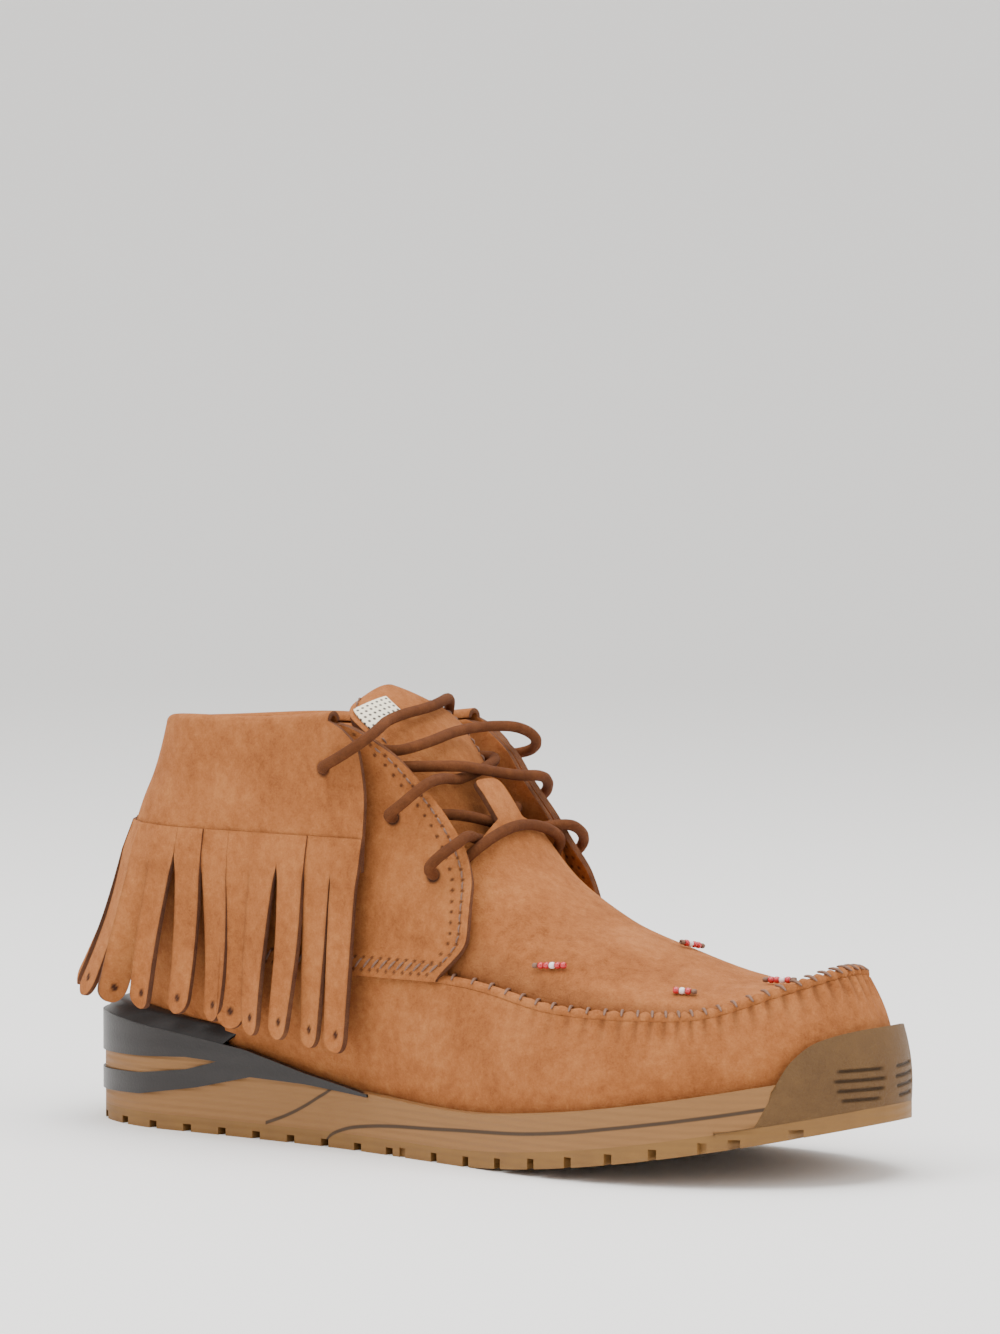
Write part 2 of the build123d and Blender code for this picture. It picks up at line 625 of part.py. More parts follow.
def beads(name, letter):
    """All beads of one kind over the four rows: short rounded cylinders in line, clear of the vamp."""
    with BuildPart() as group:
        for t, v, turn, kinds in BEAD_ROWS:
            middle = Vector(*vamp_surface(t, v))
            up = normal_of(vamp_surface, t, v)
            row = Plane(origin=middle + up * (BEAD_D / 2 + BEAD_CLEAR), x_dir=(1, 0, -up.X / up.Z), z_dir=up)
            row = row.rotated((0, 0, turn))
            for i, kind in enumerate(kinds):
                if kind == letter:
                    place = Plane(
                        origin=row.from_local_coords(((i - (len(kinds) - 1) / 2) * BEAD_PITCH, 0, 0)),
                        z_dir=row.x_dir,
                    )
                    with BuildSketch(place):
                        Circle(BEAD_D / 2)
                    extrude(amount=BEAD_LONG / 2, both=True)
    group.part.label = name
    export_step(group.part, "parts/" + name + ".step")


beads("beads_red", "r")
beads("beads_white", "w")
beads("bead_knots", "k")
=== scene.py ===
import math

import bpy
import numpy as np
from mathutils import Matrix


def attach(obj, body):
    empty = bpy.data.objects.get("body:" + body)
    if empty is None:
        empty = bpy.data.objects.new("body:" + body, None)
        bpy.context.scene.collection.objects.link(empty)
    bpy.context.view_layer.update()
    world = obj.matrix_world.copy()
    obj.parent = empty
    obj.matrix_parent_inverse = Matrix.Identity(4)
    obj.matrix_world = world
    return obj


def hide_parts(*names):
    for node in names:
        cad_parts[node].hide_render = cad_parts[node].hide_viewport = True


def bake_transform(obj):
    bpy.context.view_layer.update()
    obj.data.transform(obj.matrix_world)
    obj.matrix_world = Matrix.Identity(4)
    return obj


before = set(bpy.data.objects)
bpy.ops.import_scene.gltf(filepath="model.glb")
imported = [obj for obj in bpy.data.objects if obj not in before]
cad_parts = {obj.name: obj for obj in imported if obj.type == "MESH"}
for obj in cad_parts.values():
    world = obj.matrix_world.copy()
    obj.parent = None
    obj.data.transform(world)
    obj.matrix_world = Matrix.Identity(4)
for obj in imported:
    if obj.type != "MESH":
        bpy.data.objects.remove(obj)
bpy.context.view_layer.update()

# Camera and room. A right shoe stands on a pale floor under a broad soft box, seen from a little above the
# ground, from its outer side and its toe.
CAMERA_TURN = math.radians(36.861)
CAMERA_DOWN = math.radians(3.241)
camera_data = bpy.data.cameras.new("camera")
camera_data.lens = 151.07
camera_data.sensor_width = 36.0
camera_data.clip_end = 20.0
camera = bpy.data.objects.new("camera", camera_data)
camera.location = (1.0775, -1.430, 0.255)
camera.rotation_euler = (math.pi / 2 - CAMERA_DOWN, 0.0, CAMERA_TURN)
bpy.context.collection.objects.link(camera)
bpy.context.scene.camera = camera


def linear(code):
    """sRGB hex to a linear colour with alpha 1."""
    values = [int(code[i : i + 2], 16) / 255 for i in (1, 3, 5)]
    return [v / 12.92 if v <= 0.04045 else ((v + 0.055) / 1.055) ** 2.4 for v in values] + [1.0]


def add(tree, kind, inputs=(), **settings):
    """One node: its settings, then its inputs, each a value or the socket it is linked from."""
    made = tree.nodes.new(kind)
    for key, value in settings.items():
        setattr(made, key, value)
    for key, value in dict(inputs).items():
        if isinstance(value, bpy.types.NodeSocket):
            tree.links.new(value, made.inputs[key])
        else:
            made.inputs[key].default_value = value
    return made


def new_material(name, shader):
    """An empty node material: its tree and its Principled shader, whose constant sockets are set."""
    material = bpy.data.materials.new(name)
    material.use_nodes = True
    tree = material.node_tree
    surface = tree.nodes["Principled BSDF"]
    for key, value in shader.items():
        surface.inputs[key].default_value = value
    return material, tree, surface


# painted floor: matt warm white, which takes only a soft shadow
paper = new_material("painted_floor", {"Roughness": 0.9, "Base Color": linear("#F8F7F5")})[0]
# it lies flat to 2.5 m behind the shoe, then sweeps up through a quarter circle of 1.5 m radius
sweep_turn = np.linspace(0, math.pi / 2, 16)
depth = np.concatenate([[-6.0], 2.5 + 1.5 * np.sin(sweep_turn), [4.0]])
height = np.concatenate([[0.0], 1.5 - 1.5 * np.cos(sweep_turn), [6.0]])
back = np.array((-math.sin(CAMERA_TURN), math.cos(CAMERA_TURN), 0.0))
across = np.array((back[1], -back[0], 0.0))
sheet = back * depth[:, None, None] + across * np.array((-8.0, 8.0))[None, :, None]
sheet[..., 2] = height[:, None]
index = np.arange(sheet.shape[0] * 2).reshape(-1, 2)
quads = np.stack([index[:-1, 0], index[:-1, 1], index[1:, 1], index[1:, 0]], axis=-1)
floor_mesh = bpy.data.meshes.new("floor")
floor_mesh.from_pydata(sheet.reshape(-1, 3).tolist(), [], quads.tolist())
floor_mesh.shade_smooth()
floor_mesh.materials.append(paper)
floor = bpy.data.objects.new("floor", floor_mesh)
bpy.context.collection.objects.link(floor)

world = bpy.data.worlds.new("studio")
world.use_nodes = True
world.node_tree.nodes["Background"].inputs["Color"].default_value = (1.0, 0.99, 0.98, 1.0)
world.node_tree.nodes["Background"].inputs["Strength"].default_value = 1.15
bpy.context.scene.world = world
# each lamp: name, place in metres, turn in degrees, side in metres, watts
for name, place, turn, wide, watts in (
    ("key", (-0.5, -1.1, 1.5), (42, 0, -24), 1.0, 15.0),
    ("side", (1.5, 0.2, 1.0), (58, 0, 98), 1.0, 8.0),
    ("top", (0.1, 0.0, 1.7), (0, 0, 0), 1.5, 34.0),
):
    lamp_data = bpy.data.lights.new(name, "AREA")
    lamp_data.size = wide
    lamp_data.energy = watts
    lamp = bpy.data.objects.new(name, lamp_data)
    lamp.location = place
    lamp.rotation_euler = [math.radians(a) for a in turn]
    bpy.context.collection.objects.link(lamp)

# Sole unit. A gum-rubber outsole and midsole, cast with fine level ribs, a satin plastic clip round the heel
# and a rubber bumper at the toe. The CAD solids carry the shapes, and the mould's texture is in the bump.


def set_material(node_name, *materials):
    """Give a CAD node its finish."""
    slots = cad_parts[node_name].data.materials
    slots.clear()
    for material in materials:
        slots.append(material)


def cast_rubber(name, pale, deep, rib_mm, rib_high, rough=0.62, speckle_mm=9.0, grooves=()):
    """Cast rubber, plastic or board: two close colours in soft patches, level ribs rib_mm apart and rib_high
    deep in millimetres, a fine grain, and painted shade as deep brown lines along the grooves."""
    material, tree, surface = new_material(name, {"Roughness": rough, "Specular IOR Level": 0.35})
    place = add(tree, "ShaderNodeTexCoord").outputs["Object"]
    patches = add(
        tree, "ShaderNodeTexNoise", {"Vector": place, "Scale": 1000 / speckle_mm, "Detail": 6.0},
    )
    colour = add(tree, "ShaderNodeMix", {"Factor": patches.outputs[0]}, data_type="RGBA")
    colour.inputs[6].default_value = linear(deep)
    colour.inputs[7].default_value = linear(pale)
    tree.links.new(colour.outputs[2], surface.inputs["Base Color"])
    for line in grooves:
        # painted shade along a groove z(x): a Float Curve over x from -150 to 150 mm gives z over 50 mm; the
        # shaded line is 1.2 mm wide
        axes = add(tree, "ShaderNodeSeparateXYZ", {"Vector": place})
        share = add(
            tree, "ShaderNodeMapRange", {"Value": axes.outputs[0], "From Min": -0.15, "From Max": 0.15},
        )
        level = add(tree, "ShaderNodeFloatCurve", {"Value": share.outputs[0]})
        knots = level.mapping.curves[0].points
        for x, z in line[1:-1]:
            knots.new((x + 150) / 300, z / 50)
        for knot, (x, z) in zip((knots[0], knots[len(knots) - 1]), (line[0], line[-1])):
            knot.location = ((x + 150) / 300, z / 50)
        level.mapping.update()
        gap = add(
            tree, "ShaderNodeMath", {0: level.outputs[0], 1: -0.05, 2: axes.outputs[2]},
            operation="MULTIPLY_ADD",
        )
        size = add(tree, "ShaderNodeMath", {0: gap.outputs[0]}, operation="ABSOLUTE")
        cut = add(
            tree, "ShaderNodeMapRange",
            {"Value": size.outputs[0], "From Min": 0.0004, "From Max": 0.0008, "To Min": 1.0, "To Max": 0.0},
        )
        first = add(
            tree, "ShaderNodeMath", {0: axes.outputs[0], 1: line[0][0] / 1000}, operation="GREATER_THAN",
        )
        inside = add(tree, "ShaderNodeMath", {0: cut.outputs[0], 1: first.outputs[0]}, operation="MULTIPLY")
        # painted shade: the groove's line is mixed to a deep brown where shade falls in it
        dark = add(tree, "ShaderNodeMix", {"Factor": inside.outputs[0]}, data_type="RGBA")
        tree.links.new(colour.outputs[2], dark.inputs[6])
        dark.inputs[7].default_value = linear("#3F2C19")
        tree.links.new(dark.outputs[2], surface.inputs["Base Color"])
        colour = dark
    # a Wave Texture of scale s repeats every 2 pi / 20 / s units
    ribs = add(
        tree, "ShaderNodeTexWave", {"Vector": place, "Scale": 2 * math.pi / 20 / (rib_mm / 1000)},
        bands_direction="Z",
    )
    grain = add(tree, "ShaderNodeTexNoise", {"Vector": place, "Scale": 1000 / 0.9, "Detail": 3.0})
    low = add(tree, "ShaderNodeBump", {"Height": grain.outputs[0], "Strength": 0.25, "Distance": 0.0003})
    bump = add(
        tree, "ShaderNodeBump",
        {"Height": ribs.outputs[1], "Strength": 0.9, "Distance": rib_high / 1000, "Normal": low.outputs[0]},
    )
    tree.links.new(bump.outputs[0], surface.inputs["Normal"])
    return material


# (x, z) points in mm of the heel line, which rises to the arch, and of the long line from the arch to the toe
SOLE_LINES = (
    [(-62, 5.6), (-54, 8.5), (-47, 11.7), (-40, 15.6), (-34.5, 18.8), (-30, 24)],
    [(-37, 1.0), (-30, 6.0), (-18, 8.4), (16, 10.8), (56, 13.5), (90, 18.2), (130, 25)],
)
# gum rubber: matt honey brown; the midsole's real ribs are under 1 mm apart and are drawn coarser, to show
set_material(
    "midsole", cast_rubber("gum_rubber_ribbed", "#8A6238", "#845D35", 2.4, 0.32, grooves=SOLE_LINES),
)
# the tread's rubber is a harder mix, a little browner, with fainter ribs
set_material(
    "outsole", cast_rubber("gum_rubber_tread", "#85602F", "#704E29", 2.6, 0.2, grooves=SOLE_LINES),
)
# moulded thermoplastic polyurethane: near-black brown with a satin gloss
set_material("heel_stabilizer", cast_rubber("moulded_tpu", "#26211F", "#1F1B1A", 6.0, 0.05, rough=0.36))
# pressed fibreboard: dull grey tan, seen only in the cut shoe
set_material("insole_board", cast_rubber("fibre_board", "#8A7558", "#6E5B42", 2.0, 0.05, rough=0.9))
set_material("heel_counter", cast_rubber("fibre_counter", "#8A7558", "#6E5B42", 2.0, 0.05, rough=0.9))
# knitted polyester: dark, without gloss, its courses as 0.9 mm ribs
footbed_knit = cast_rubber("knitted_footbed", "#3B2E27", "#2B211C", 0.9, 0.25, rough=0.95, speckle_mm=3.0)
# pressed spring steel: plain grey metal with a mill finish
steel, tree, surface = new_material("pressed_steel", {"Metallic": 1.0, "Roughness": 0.35})
surface.inputs["Base Color"].default_value = linear("#A9A9A6")
set_material("shank", steel)

# Suede. Vegetable-dyed split leather with the nap brushed up: brushed patches a few centimetres across go
# lighter or darker, short fibres give a matt bloom, and cut edges show a darker fibrous core.


def matt_hide(name, pale, middle, deep, edge, nap_mm=0.7, bloom=0.14, rough=0.93):
    """Matt mottled surface, as of brushed leather: three colours by the sum of noises 26 mm, 3.2 mm and
    nap_mm wide. A float attribute (0 to 1) mixes to the edge colour: painted shade in holes, creases and
    recesses, and the darker fibres of raw cut edges."""
    material, tree, surface = new_material(
        name,
        {"Roughness": rough, "Specular IOR Level": 0.18, "Sheen Weight": bloom, "Sheen Roughness": 0.45},
    )
    surface.inputs["Sheen Tint"].default_value = linear(pale)
    place = add(tree, "ShaderNodeTexCoord").outputs["Object"]
    noises = []
    for wide_mm, detail, roughness in ((26, 5.0, 0.6), (3.2, 6.0, 0.7), (nap_mm, 4.0, 0.8)):
        noises.append(add(
            tree, "ShaderNodeTexNoise",
            {"Vector": place, "Scale": 1000 / wide_mm, "Detail": detail, "Roughness": roughness},
        ).outputs[0])
    patches, mottle, fibre = noises
    mixed = add(tree, "ShaderNodeMath", {0: patches, 1: 0.8}, operation="MULTIPLY").outputs[0]
    for noise, share in ((mottle, 0.7), (fibre, 0.6)):
        mixed = add(
            tree, "ShaderNodeMath", {0: noise, 1: share, 2: mixed}, operation="MULTIPLY_ADD",
        ).outputs[0]
    spread = add(tree, "ShaderNodeMapRange", {"Value": mixed, "From Min": 0.72, "From Max": 1.38})
    ramp = add(tree, "ShaderNodeValToRGB", {"Fac": spread.outputs[0]})
    ramp.color_ramp.elements[0].color = linear(deep)
    ramp.color_ramp.elements[1].color = linear(pale)
    ramp.color_ramp.elements.new(0.5).color = linear(middle)
    # painted shade: holes, creases and recesses are mixed to the deep edge colour, as are the raw cut edges
    shade_and_raw_edge = add(tree, "ShaderNodeAttribute", attribute_name="shade_and_raw_edge")
    colour = add(tree, "ShaderNodeMix", {"Factor": shade_and_raw_edge.outputs["Fac"]}, data_type="RGBA")
    tree.links.new(ramp.outputs[0], colour.inputs[6])
    colour.inputs[7].default_value = linear(edge)
    tree.links.new(colour.outputs[2], surface.inputs["Base Color"])
    wrinkle = add(tree, "ShaderNodeBump", {"Height": mottle, "Strength": 0.6, "Distance": 0.0009})
    nap = add(
        tree, "ShaderNodeBump",
        {"Height": fibre, "Strength": 1.0, "Distance": 0.0005, "Normal": wrinkle.outputs[0]},
    )
    tree.links.new(nap.outputs[0], surface.inputs["Normal"])
    return material


# brushed split leather: warm tan with a soft bloom where it turns away
tan_suede = matt_hide("tan_suede", "#BC7B48", "#A36437", "#7F4822", "#3B2217")
# knife-cut edge of the same leather: darker, more fibrous
raw_edge = matt_hide("suede_cut_edge", "#8A5B3C", "#6E4630", "#523222", "#3B251B", nap_mm=0.4, bloom=0.1)
# smooth calf: orange tan, evener than the suede
calf_lining = matt_hide("calf_lining", "#BE7A48", "#AD693A", "#98572C", "#4A2E1E", nap_mm=1.2, bloom=0.1)

# Moccasin wrap. The side wall is one strip of 2 mm suede lasted up from the sole; round the toe its top is
# gathered into small puckers where it is hand sewn to the vamp.
RIM_HEEL = np.array([(-115, 35.5), (-140, 24), (-150, -1), (-140, -25), (-115, -36.5)])
RIM = np.array([
    (-80, -36.5), (-30, -37.5), (20, -45), (56, -51), (88, -49.5), (115, -40), (138, -21), (150, 7),
    (142, 31), (121, 45), (92, 51.5), (56, 50), (20, 42), (-30, 35), (-80, 35.5),
])
SEAM = np.array([
    (-80, -37.5, 59), (-30, -38.5, 58), (20, -39.5, 56), (56, -42.5, 50.6), (86, -40.5, 50),
    (108, -33, 51.5), (126, -17, 58.5), (134.5, 7, 63), (128, 27, 60), (111, 37, 52), (88, 42, 50),
    (56, 42, 50.6), (20, 39.5, 56), (-30, 38, 58), (-80, 37.5, 59),
])
SOLE_TOP = [
    (-150, 30), (-100, 30), (-70, 27), (-28, 19.5), (22, 17), (60, 20.2), (93, 25), (120, 30), (150, 36),
]
LEATHER = 2.0
FEATHER_IN = 4.6  # from the rim of the sole in to the foot of the wrap
PUCKER = 6.6  # along the seam from one gather to the next
SEAM_LONG = 470.0  # seam length from join to join


def along(x, stations):
    """Values at x through (x, value) stations: cubic pieces with harmonic-mean slopes, no overshoot."""
    xs, ys = np.array(stations, float).T
    x = np.clip(x, xs[0], xs[-1])
    step = np.diff(xs)
    rise = np.diff(ys) / step
    both = rise[:-1] * rise[1:]
    middle = np.where(both > 0, 2 * both / np.where(both > 0, rise[:-1] + rise[1:], 1.0), 0.0)
    slope = np.concatenate([rise[:1], middle, rise[-1:]])
    i = np.clip(np.searchsorted(xs, x, side="right") - 1, 0, len(step) - 1)
    t = (x - xs[i]) / step[i]
    value = ys[i] * (2 * t**3 - 3 * t**2 + 1) + ys[i + 1] * (3 * t**2 - 2 * t**3)
    return value + step[i] * (slope[i] * (t**3 - 2 * t**2 + t) + slope[i + 1] * (t**3 - t**2))


def curve(points, t):
    """Catmull-Rom curve through the points, t 0 to 1 evenly over them; the points' columns come last."""
    ends = np.vstack([2 * points[0] - points[1], points, 2 * points[-1] - points[-2]])
    place = np.clip(t, 0, 1) * (len(points) - 1)
    i = np.minimum(place.astype(int), len(points) - 2)
    f = (place - i)[..., None]
    a, b, c, d = (ends[i + k] for k in range(4))
    return 0.5 * (2 * b + (c - a) * f + (2 * a - 5 * b + 4 * c - d) * f**2 + (3 * b - a - 3 * c + d) * f**3)


def square_out(points, t):
    """Unit outward direction in plan of a curve, from its chord over 0.008 of t."""
    chord = (curve(points, t + 0.004) - curve(points, t - 0.004))[..., :2]
    chord /= np.linalg.norm(chord, axis=-1, keepdims=True)
    return np.stack([chord[..., 1], -chord[..., 0], np.zeros(t.shape)], axis=-1)


def toe_share(t):
    """1 round the toe and 0 along the sides, smooth: where the wrap is gathered."""
    return np.clip(1 - ((t - 0.5) / 0.33) ** 4, 0, 1)


def gather_at(t):
    """Phase of the gathers along the seam: one turn each PUCKER, unevenly by a slow sine."""
    return 2 * math.pi * t * SEAM_LONG / PUCKER + 0.9 * np.sin(37 * t)


def wrap_surface(t, v):
    """Side wall: feather line to seam with a sine bulge, plus gathers that swell towards the seam."""
    out = square_out(RIM, t)
    foot = curve(RIM, t)
    foot = np.concatenate([foot, np.zeros(t.shape + (1,))], axis=-1) - out * FEATHER_IN
    foot[..., 2] = along(foot[..., 0], SOLE_TOP) - 1.9
    top = curve(SEAM, t)
    wall = foot + (top - foot) * v[..., None] + out * (2.4 * np.sin(math.pi * v))[..., None]
    depth = 0.75 * toe_share(t) * np.clip((v - 0.45) / 0.55, 0, 1) ** 1.5
    soft = 0.35 * np.sin(31 * t + 3 * v) * np.sin(math.pi * v)
    return wall + out * (np.cos(gather_at(t)) * depth + soft)[..., None]


def normals_of(grid):
    """Unit normals of a grid of points: first-axis tangent crossed with second-axis tangent."""
    n = np.cross(np.gradient(grid, axis=0), np.gradient(grid, axis=1))
    return n / np.maximum(np.linalg.norm(n, axis=-1, keepdims=True), 1e-9)


def finish_mesh(name, mesh, materials, body, stands_for):
    """Object at the origin for a finished mesh, smooth, riding on its body unless that is None."""
    for material in materials:
        mesh.materials.append(material)
    mesh.shade_smooth()
    piece = bpy.data.objects.new(name, mesh)
    bpy.context.collection.objects.link(piece)
    if body:
        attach(piece, body)
    if stands_for:
        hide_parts(*stands_for)
    return piece


def leather_piece(name, grid, thick, materials, body, stands_for=(), shade_and_raw_edge=None, round_edge=0.45):
    """Sheet of leather on a grid of outer-face points in millimetres: wall of even thickness inwards, the rim
    in the second material, its edges rounded. UV is the grid's arc length in metres."""
    rows, cols = grid.shape[:2]
    index = np.arange(rows * cols).reshape(rows, cols)
    quads = np.stack([index[:-1, :-1], index[1:, :-1], index[1:, 1:], index[:-1, 1:]], axis=-1).reshape(-1, 4)
    mesh = bpy.data.meshes.new(name)
    mesh.from_pydata((grid.reshape(-1, 3) / 1000).tolist(), [], quads.tolist())
    long = np.cumsum(np.linalg.norm(np.diff(grid, axis=0, prepend=grid[:1]), axis=-1), axis=0)
    wide = np.cumsum(np.linalg.norm(np.diff(grid, axis=1, prepend=grid[:, :1]), axis=-1), axis=1)
    flat = np.stack([long, wide], axis=-1).reshape(-1, 2) / 1000
    uv = mesh.uv_layers.new(name="cut")
    uv.data.foreach_set("uv", flat[quads.reshape(-1)].ravel().astype(np.float32))
    # the attribute for painted shade and raw edges, zero unless given
    shade = mesh.attributes.new("shade_and_raw_edge", "FLOAT", "POINT")
    if shade_and_raw_edge is not None:
        shade.data.foreach_set("value", shade_and_raw_edge.ravel().astype(np.float32))
    piece = finish_mesh(name, mesh, materials, body, stands_for)
    wall = piece.modifiers.new("thickness", "SOLIDIFY")
    wall.thickness = thick / 1000
    wall.offset = -1.0
    wall.use_even_offset = False
    wall.material_offset_rim = len(materials) - 1
    edge = piece.modifiers.new("edge", "BEVEL")
    edge.width = round_edge / 1000
    edge.segments = 2
    edge.limit_method = "ANGLE"
    edge.angle_limit = math.radians(50)
    return piece


t, v = np.meshgrid(np.linspace(0, 1, 560), np.linspace(0, 0.985, 34), indexing="ij")
# painted shade in the valleys of the gathers round the toe, deepening towards the seam
shade_and_raw_edge = 0.55 * toe_share(t) * np.clip((v - 0.7) / 0.3, 0, 1) * np.clip(-np.cos(gather_at(t)), 0, 1)
leather_piece(
    "moccasin_wrap", wrap_surface(t, v), LEATHER, [tan_suede, raw_edge], "shoe", ["moc_wrap"], shade_and_raw_edge,
)

# Vamp. A single plug of suede over the toes, sewn in all round by the gathered seam, with a narrow tab at its
# throat that lies over the tongue under the laces.
VAMP_CREST = [
    (-6, 122.6), (2, 116), (11, 104.3), (23, 90.5), (40, 78.5), (48, 74.5), (67, 68.5), (91, 61),
    (104, 59), (112, 59), (126, 62), (134, 64),
]
VAMP_REAR = 11.0  # x where the vamp ends and its tab goes on
TAB_TIP = 0.0
TAB_HALF = 6.5


def vamp_surface(t, v):
    """Straight line between the seam at t and 1 - t, plus an arch of (1 - |v| to 2.3) to 0.6 to the crest."""
    sides = []
    for place in (t, 1 - t):
        inset = curve(SEAM, place) - square_out(SEAM, place) * 3.2
        inset[..., 2] -= 0.3
        sides.append(inset)
    base = sides[0] + (sides[1] - sides[0]) * ((1 + v) / 2)[..., None]
    crest = np.maximum(along(base[..., 0], VAMP_CREST) - base[..., 2], 0)
    base[..., 2] += crest * np.maximum(1 - np.abs(v) ** 2.3, 0) ** 0.6
    return base


t_line = np.linspace(0.08, 0.492, 900)
x_line = vamp_surface(t_line, np.zeros(900))[:, 0]
# rows of points along the tab, close together round its shoulders, and over the vamp
x_rows = np.concatenate([
    np.linspace(TAB_TIP, VAMP_REAR - 1.6, 14),
    np.linspace(VAMP_REAR - 1.4, 14, 14),
    np.linspace(14.8, x_line[-1], 120),
])
t_rows = np.interp(x_rows, x_line, t_line)
half_rows = np.abs(vamp_surface(t_rows, -np.ones(len(t_rows)))[:, 1])
open_share = np.clip((x_rows - VAMP_REAR + 1.5) / 2.2, 0, 1)
open_share = open_share**2 * (3 - 2 * open_share)
tab_round = np.sqrt(np.clip(1 - ((2.0 - np.clip(x_rows - TAB_TIP, 0, 2.0)) / 2.2) ** 2, 0, 1))
v_edge = TAB_HALF * (0.7 + 0.3 * tab_round) / half_rows * (1 - open_share) + 0.999 * open_share
v_line = np.linspace(-1, 1, 120)
t, v = t_rows[:, None] + 0 * v_line, v_edge[:, None] * v_line
grid = vamp_surface(t, v)
edge_share = np.clip((np.abs(v) - 0.86) / 0.14, 0, 1)
fold = np.cos(2 * math.pi * np.where(v < 0, t, 1 - t) * SEAM_LONG / PUCKER)
waves = 0.25 * np.sin(grid[..., 0] / 9) * np.cos(grid[..., 1] / 7)
grid[..., 2] += 0.5 * edge_share * fold * open_share[:, None] + waves
# painted shade along the vamp's edges, where they run under the gathered welt
shade_and_raw_edge = 0.4 * edge_share * open_share[:, None]
leather_piece("vamp_plug", grid, LEATHER, [tan_suede, raw_edge], "shoe", ["vamp"], shade_and_raw_edge)

# Moccasin seam. The gathered top of the wrap rolls over the plug's edge as a puckered welt, whipped down with
# waxed brown thread, one stitch in each valley.


def tube(name, path, radius, sides, materials, body, stands_for=()):
    """Closed tube round a path in mm: a circle of the given radius at each point, square to the path."""
    count = len(path)
    run = np.gradient(path, axis=0)
    run /= np.linalg.norm(run, axis=-1, keepdims=True)
    side = np.cross(run, (0, 0, 1.0))
    side /= np.linalg.norm(side, axis=-1, keepdims=True)
    rise = np.cross(side, run)
    angle = np.linspace(0, 2 * math.pi, sides, endpoint=False)
    ring = side[:, None] * np.cos(angle)[None, :, None] + rise[:, None] * np.sin(angle)[None, :, None]
    points = path[:, None] + ring * radius[:, None, None]
    index = np.arange(count * sides).reshape(count, sides)
    after = np.roll(index, -1, axis=1)
    quads = np.stack([index[:-1], index[1:], after[1:], after[:-1]], axis=-1).reshape(-1, 4)
    faces = quads[:, ::-1].tolist() + [index[0].tolist(), index[-1][::-1].tolist()]
    mesh = bpy.data.meshes.new(name)
    mesh.from_pydata((points.reshape(-1, 3) / 1000).tolist(), [], faces)
    mesh.attributes.new("shade_and_raw_edge", "FLOAT", "POINT")
    return finish_mesh(name, mesh, materials, body, stands_for)


# waxed linen thread: grey brown, lightly glossy, streaked along its strands
thread, tree, surface = new_material("waxed_thread", {"Roughness": 0.6, "Specular IOR Level": 0.3})
place = add(tree, "ShaderNodeTexCoord").outputs["Object"]
strand = add(tree, "ShaderNodeTexNoise", {"Vector": place, "Scale": 1000 / 0.8, "Detail": 3.0})
colour = add(tree, "ShaderNodeMix", {"Factor": strand.outputs[0]}, data_type="RGBA")
colour.inputs[6].default_value = linear("#5E4234")
colour.inputs[7].default_value = linear("#8C6A56")
tree.links.new(colour.outputs[2], surface.inputs["Base Color"])


def unit(vectors):
    """Vectors over their lengths."""
    return vectors / np.linalg.norm(vectors, axis=-1, keepdims=True)


def stitches(name, middle, run, normal, long, thick, body="shoe"):
    """One mesh of stitches: each a six-sided thread over `long`, arched by a cosine and its ends buried."""
    run = unit(run - normal * np.sum(run * normal, axis=-1, keepdims=True))
    side = np.cross(normal, run)
    s = np.array([-0.5, -0.42, -0.2, 0.0, 0.2, 0.42, 0.5])
    size = np.array([0.35, 0.75, 1.0, 1.05, 1.0, 0.75, 0.35]) * thick / 2
    lift = (np.cos(s * math.pi) - 0.25) * thick * 0.6
    angle = np.arange(6) * math.pi / 3
    offset_n = lift[:, None] + size[:, None] * np.sin(angle)
    offset_s = size[:, None] * np.cos(angle)
    points = (
        middle[:, None, None] + run[:, None, None] * (s * long)[None, :, None, None]
        + normal[:, None, None] * offset_n[None, ..., None] + side[:, None, None] * offset_s[None, ..., None]
    )
    ring = np.arange(42).reshape(7, 6)
    after = np.roll(ring, -1, axis=1)
    quads = np.stack([ring[:-1], ring[1:], after[1:], after[:-1]], axis=-1).reshape(-1, 4)[:, ::-1]
    ends = np.stack([ring[0], ring[-1][::-1]])
    first = 42 * np.arange(len(middle))[:, None, None]
    faces = (quads + first).reshape(-1, 4).tolist() + (ends + first).reshape(-1, 6).tolist()
    mesh = bpy.data.meshes.new(name)
    mesh.from_pydata((points.reshape(-1, 3) / 1000).tolist(), [], faces)
    return finish_mesh(name, mesh, [thread], body, ())


t = np.linspace(0.11, 0.89, 800)
welt = curve(SEAM, t) - square_out(SEAM, t) * 1.5 + np.array((0, 0, 0.35))
phase = gather_at(t)
tube("gathered_welt", welt, 1.75 + 0.5 * np.cos(phase) * toe_share(t), 14, [tan_suede], "shoe")
turns = np.arange(math.ceil(phase[0] / math.pi / 2), phase[-1] / math.pi / 2)
valleys = np.interp(turns * 2 * math.pi + math.pi, phase, t)[:-1]
middle = curve(SEAM, valleys) - square_out(SEAM, valleys) * 1.7 + np.array((0, 0, 1.9))
lean = unit(curve(SEAM, valleys + 0.004) - curve(SEAM, valleys - 0.004))
stitches(
    "seam_stitches", middle, square_out(SEAM, valleys) + 0.35 * lean,
    unit(np.array((0, 0, 1.0)) + 0.25 * square_out(SEAM, valleys)), 5.2, 1.0,
)

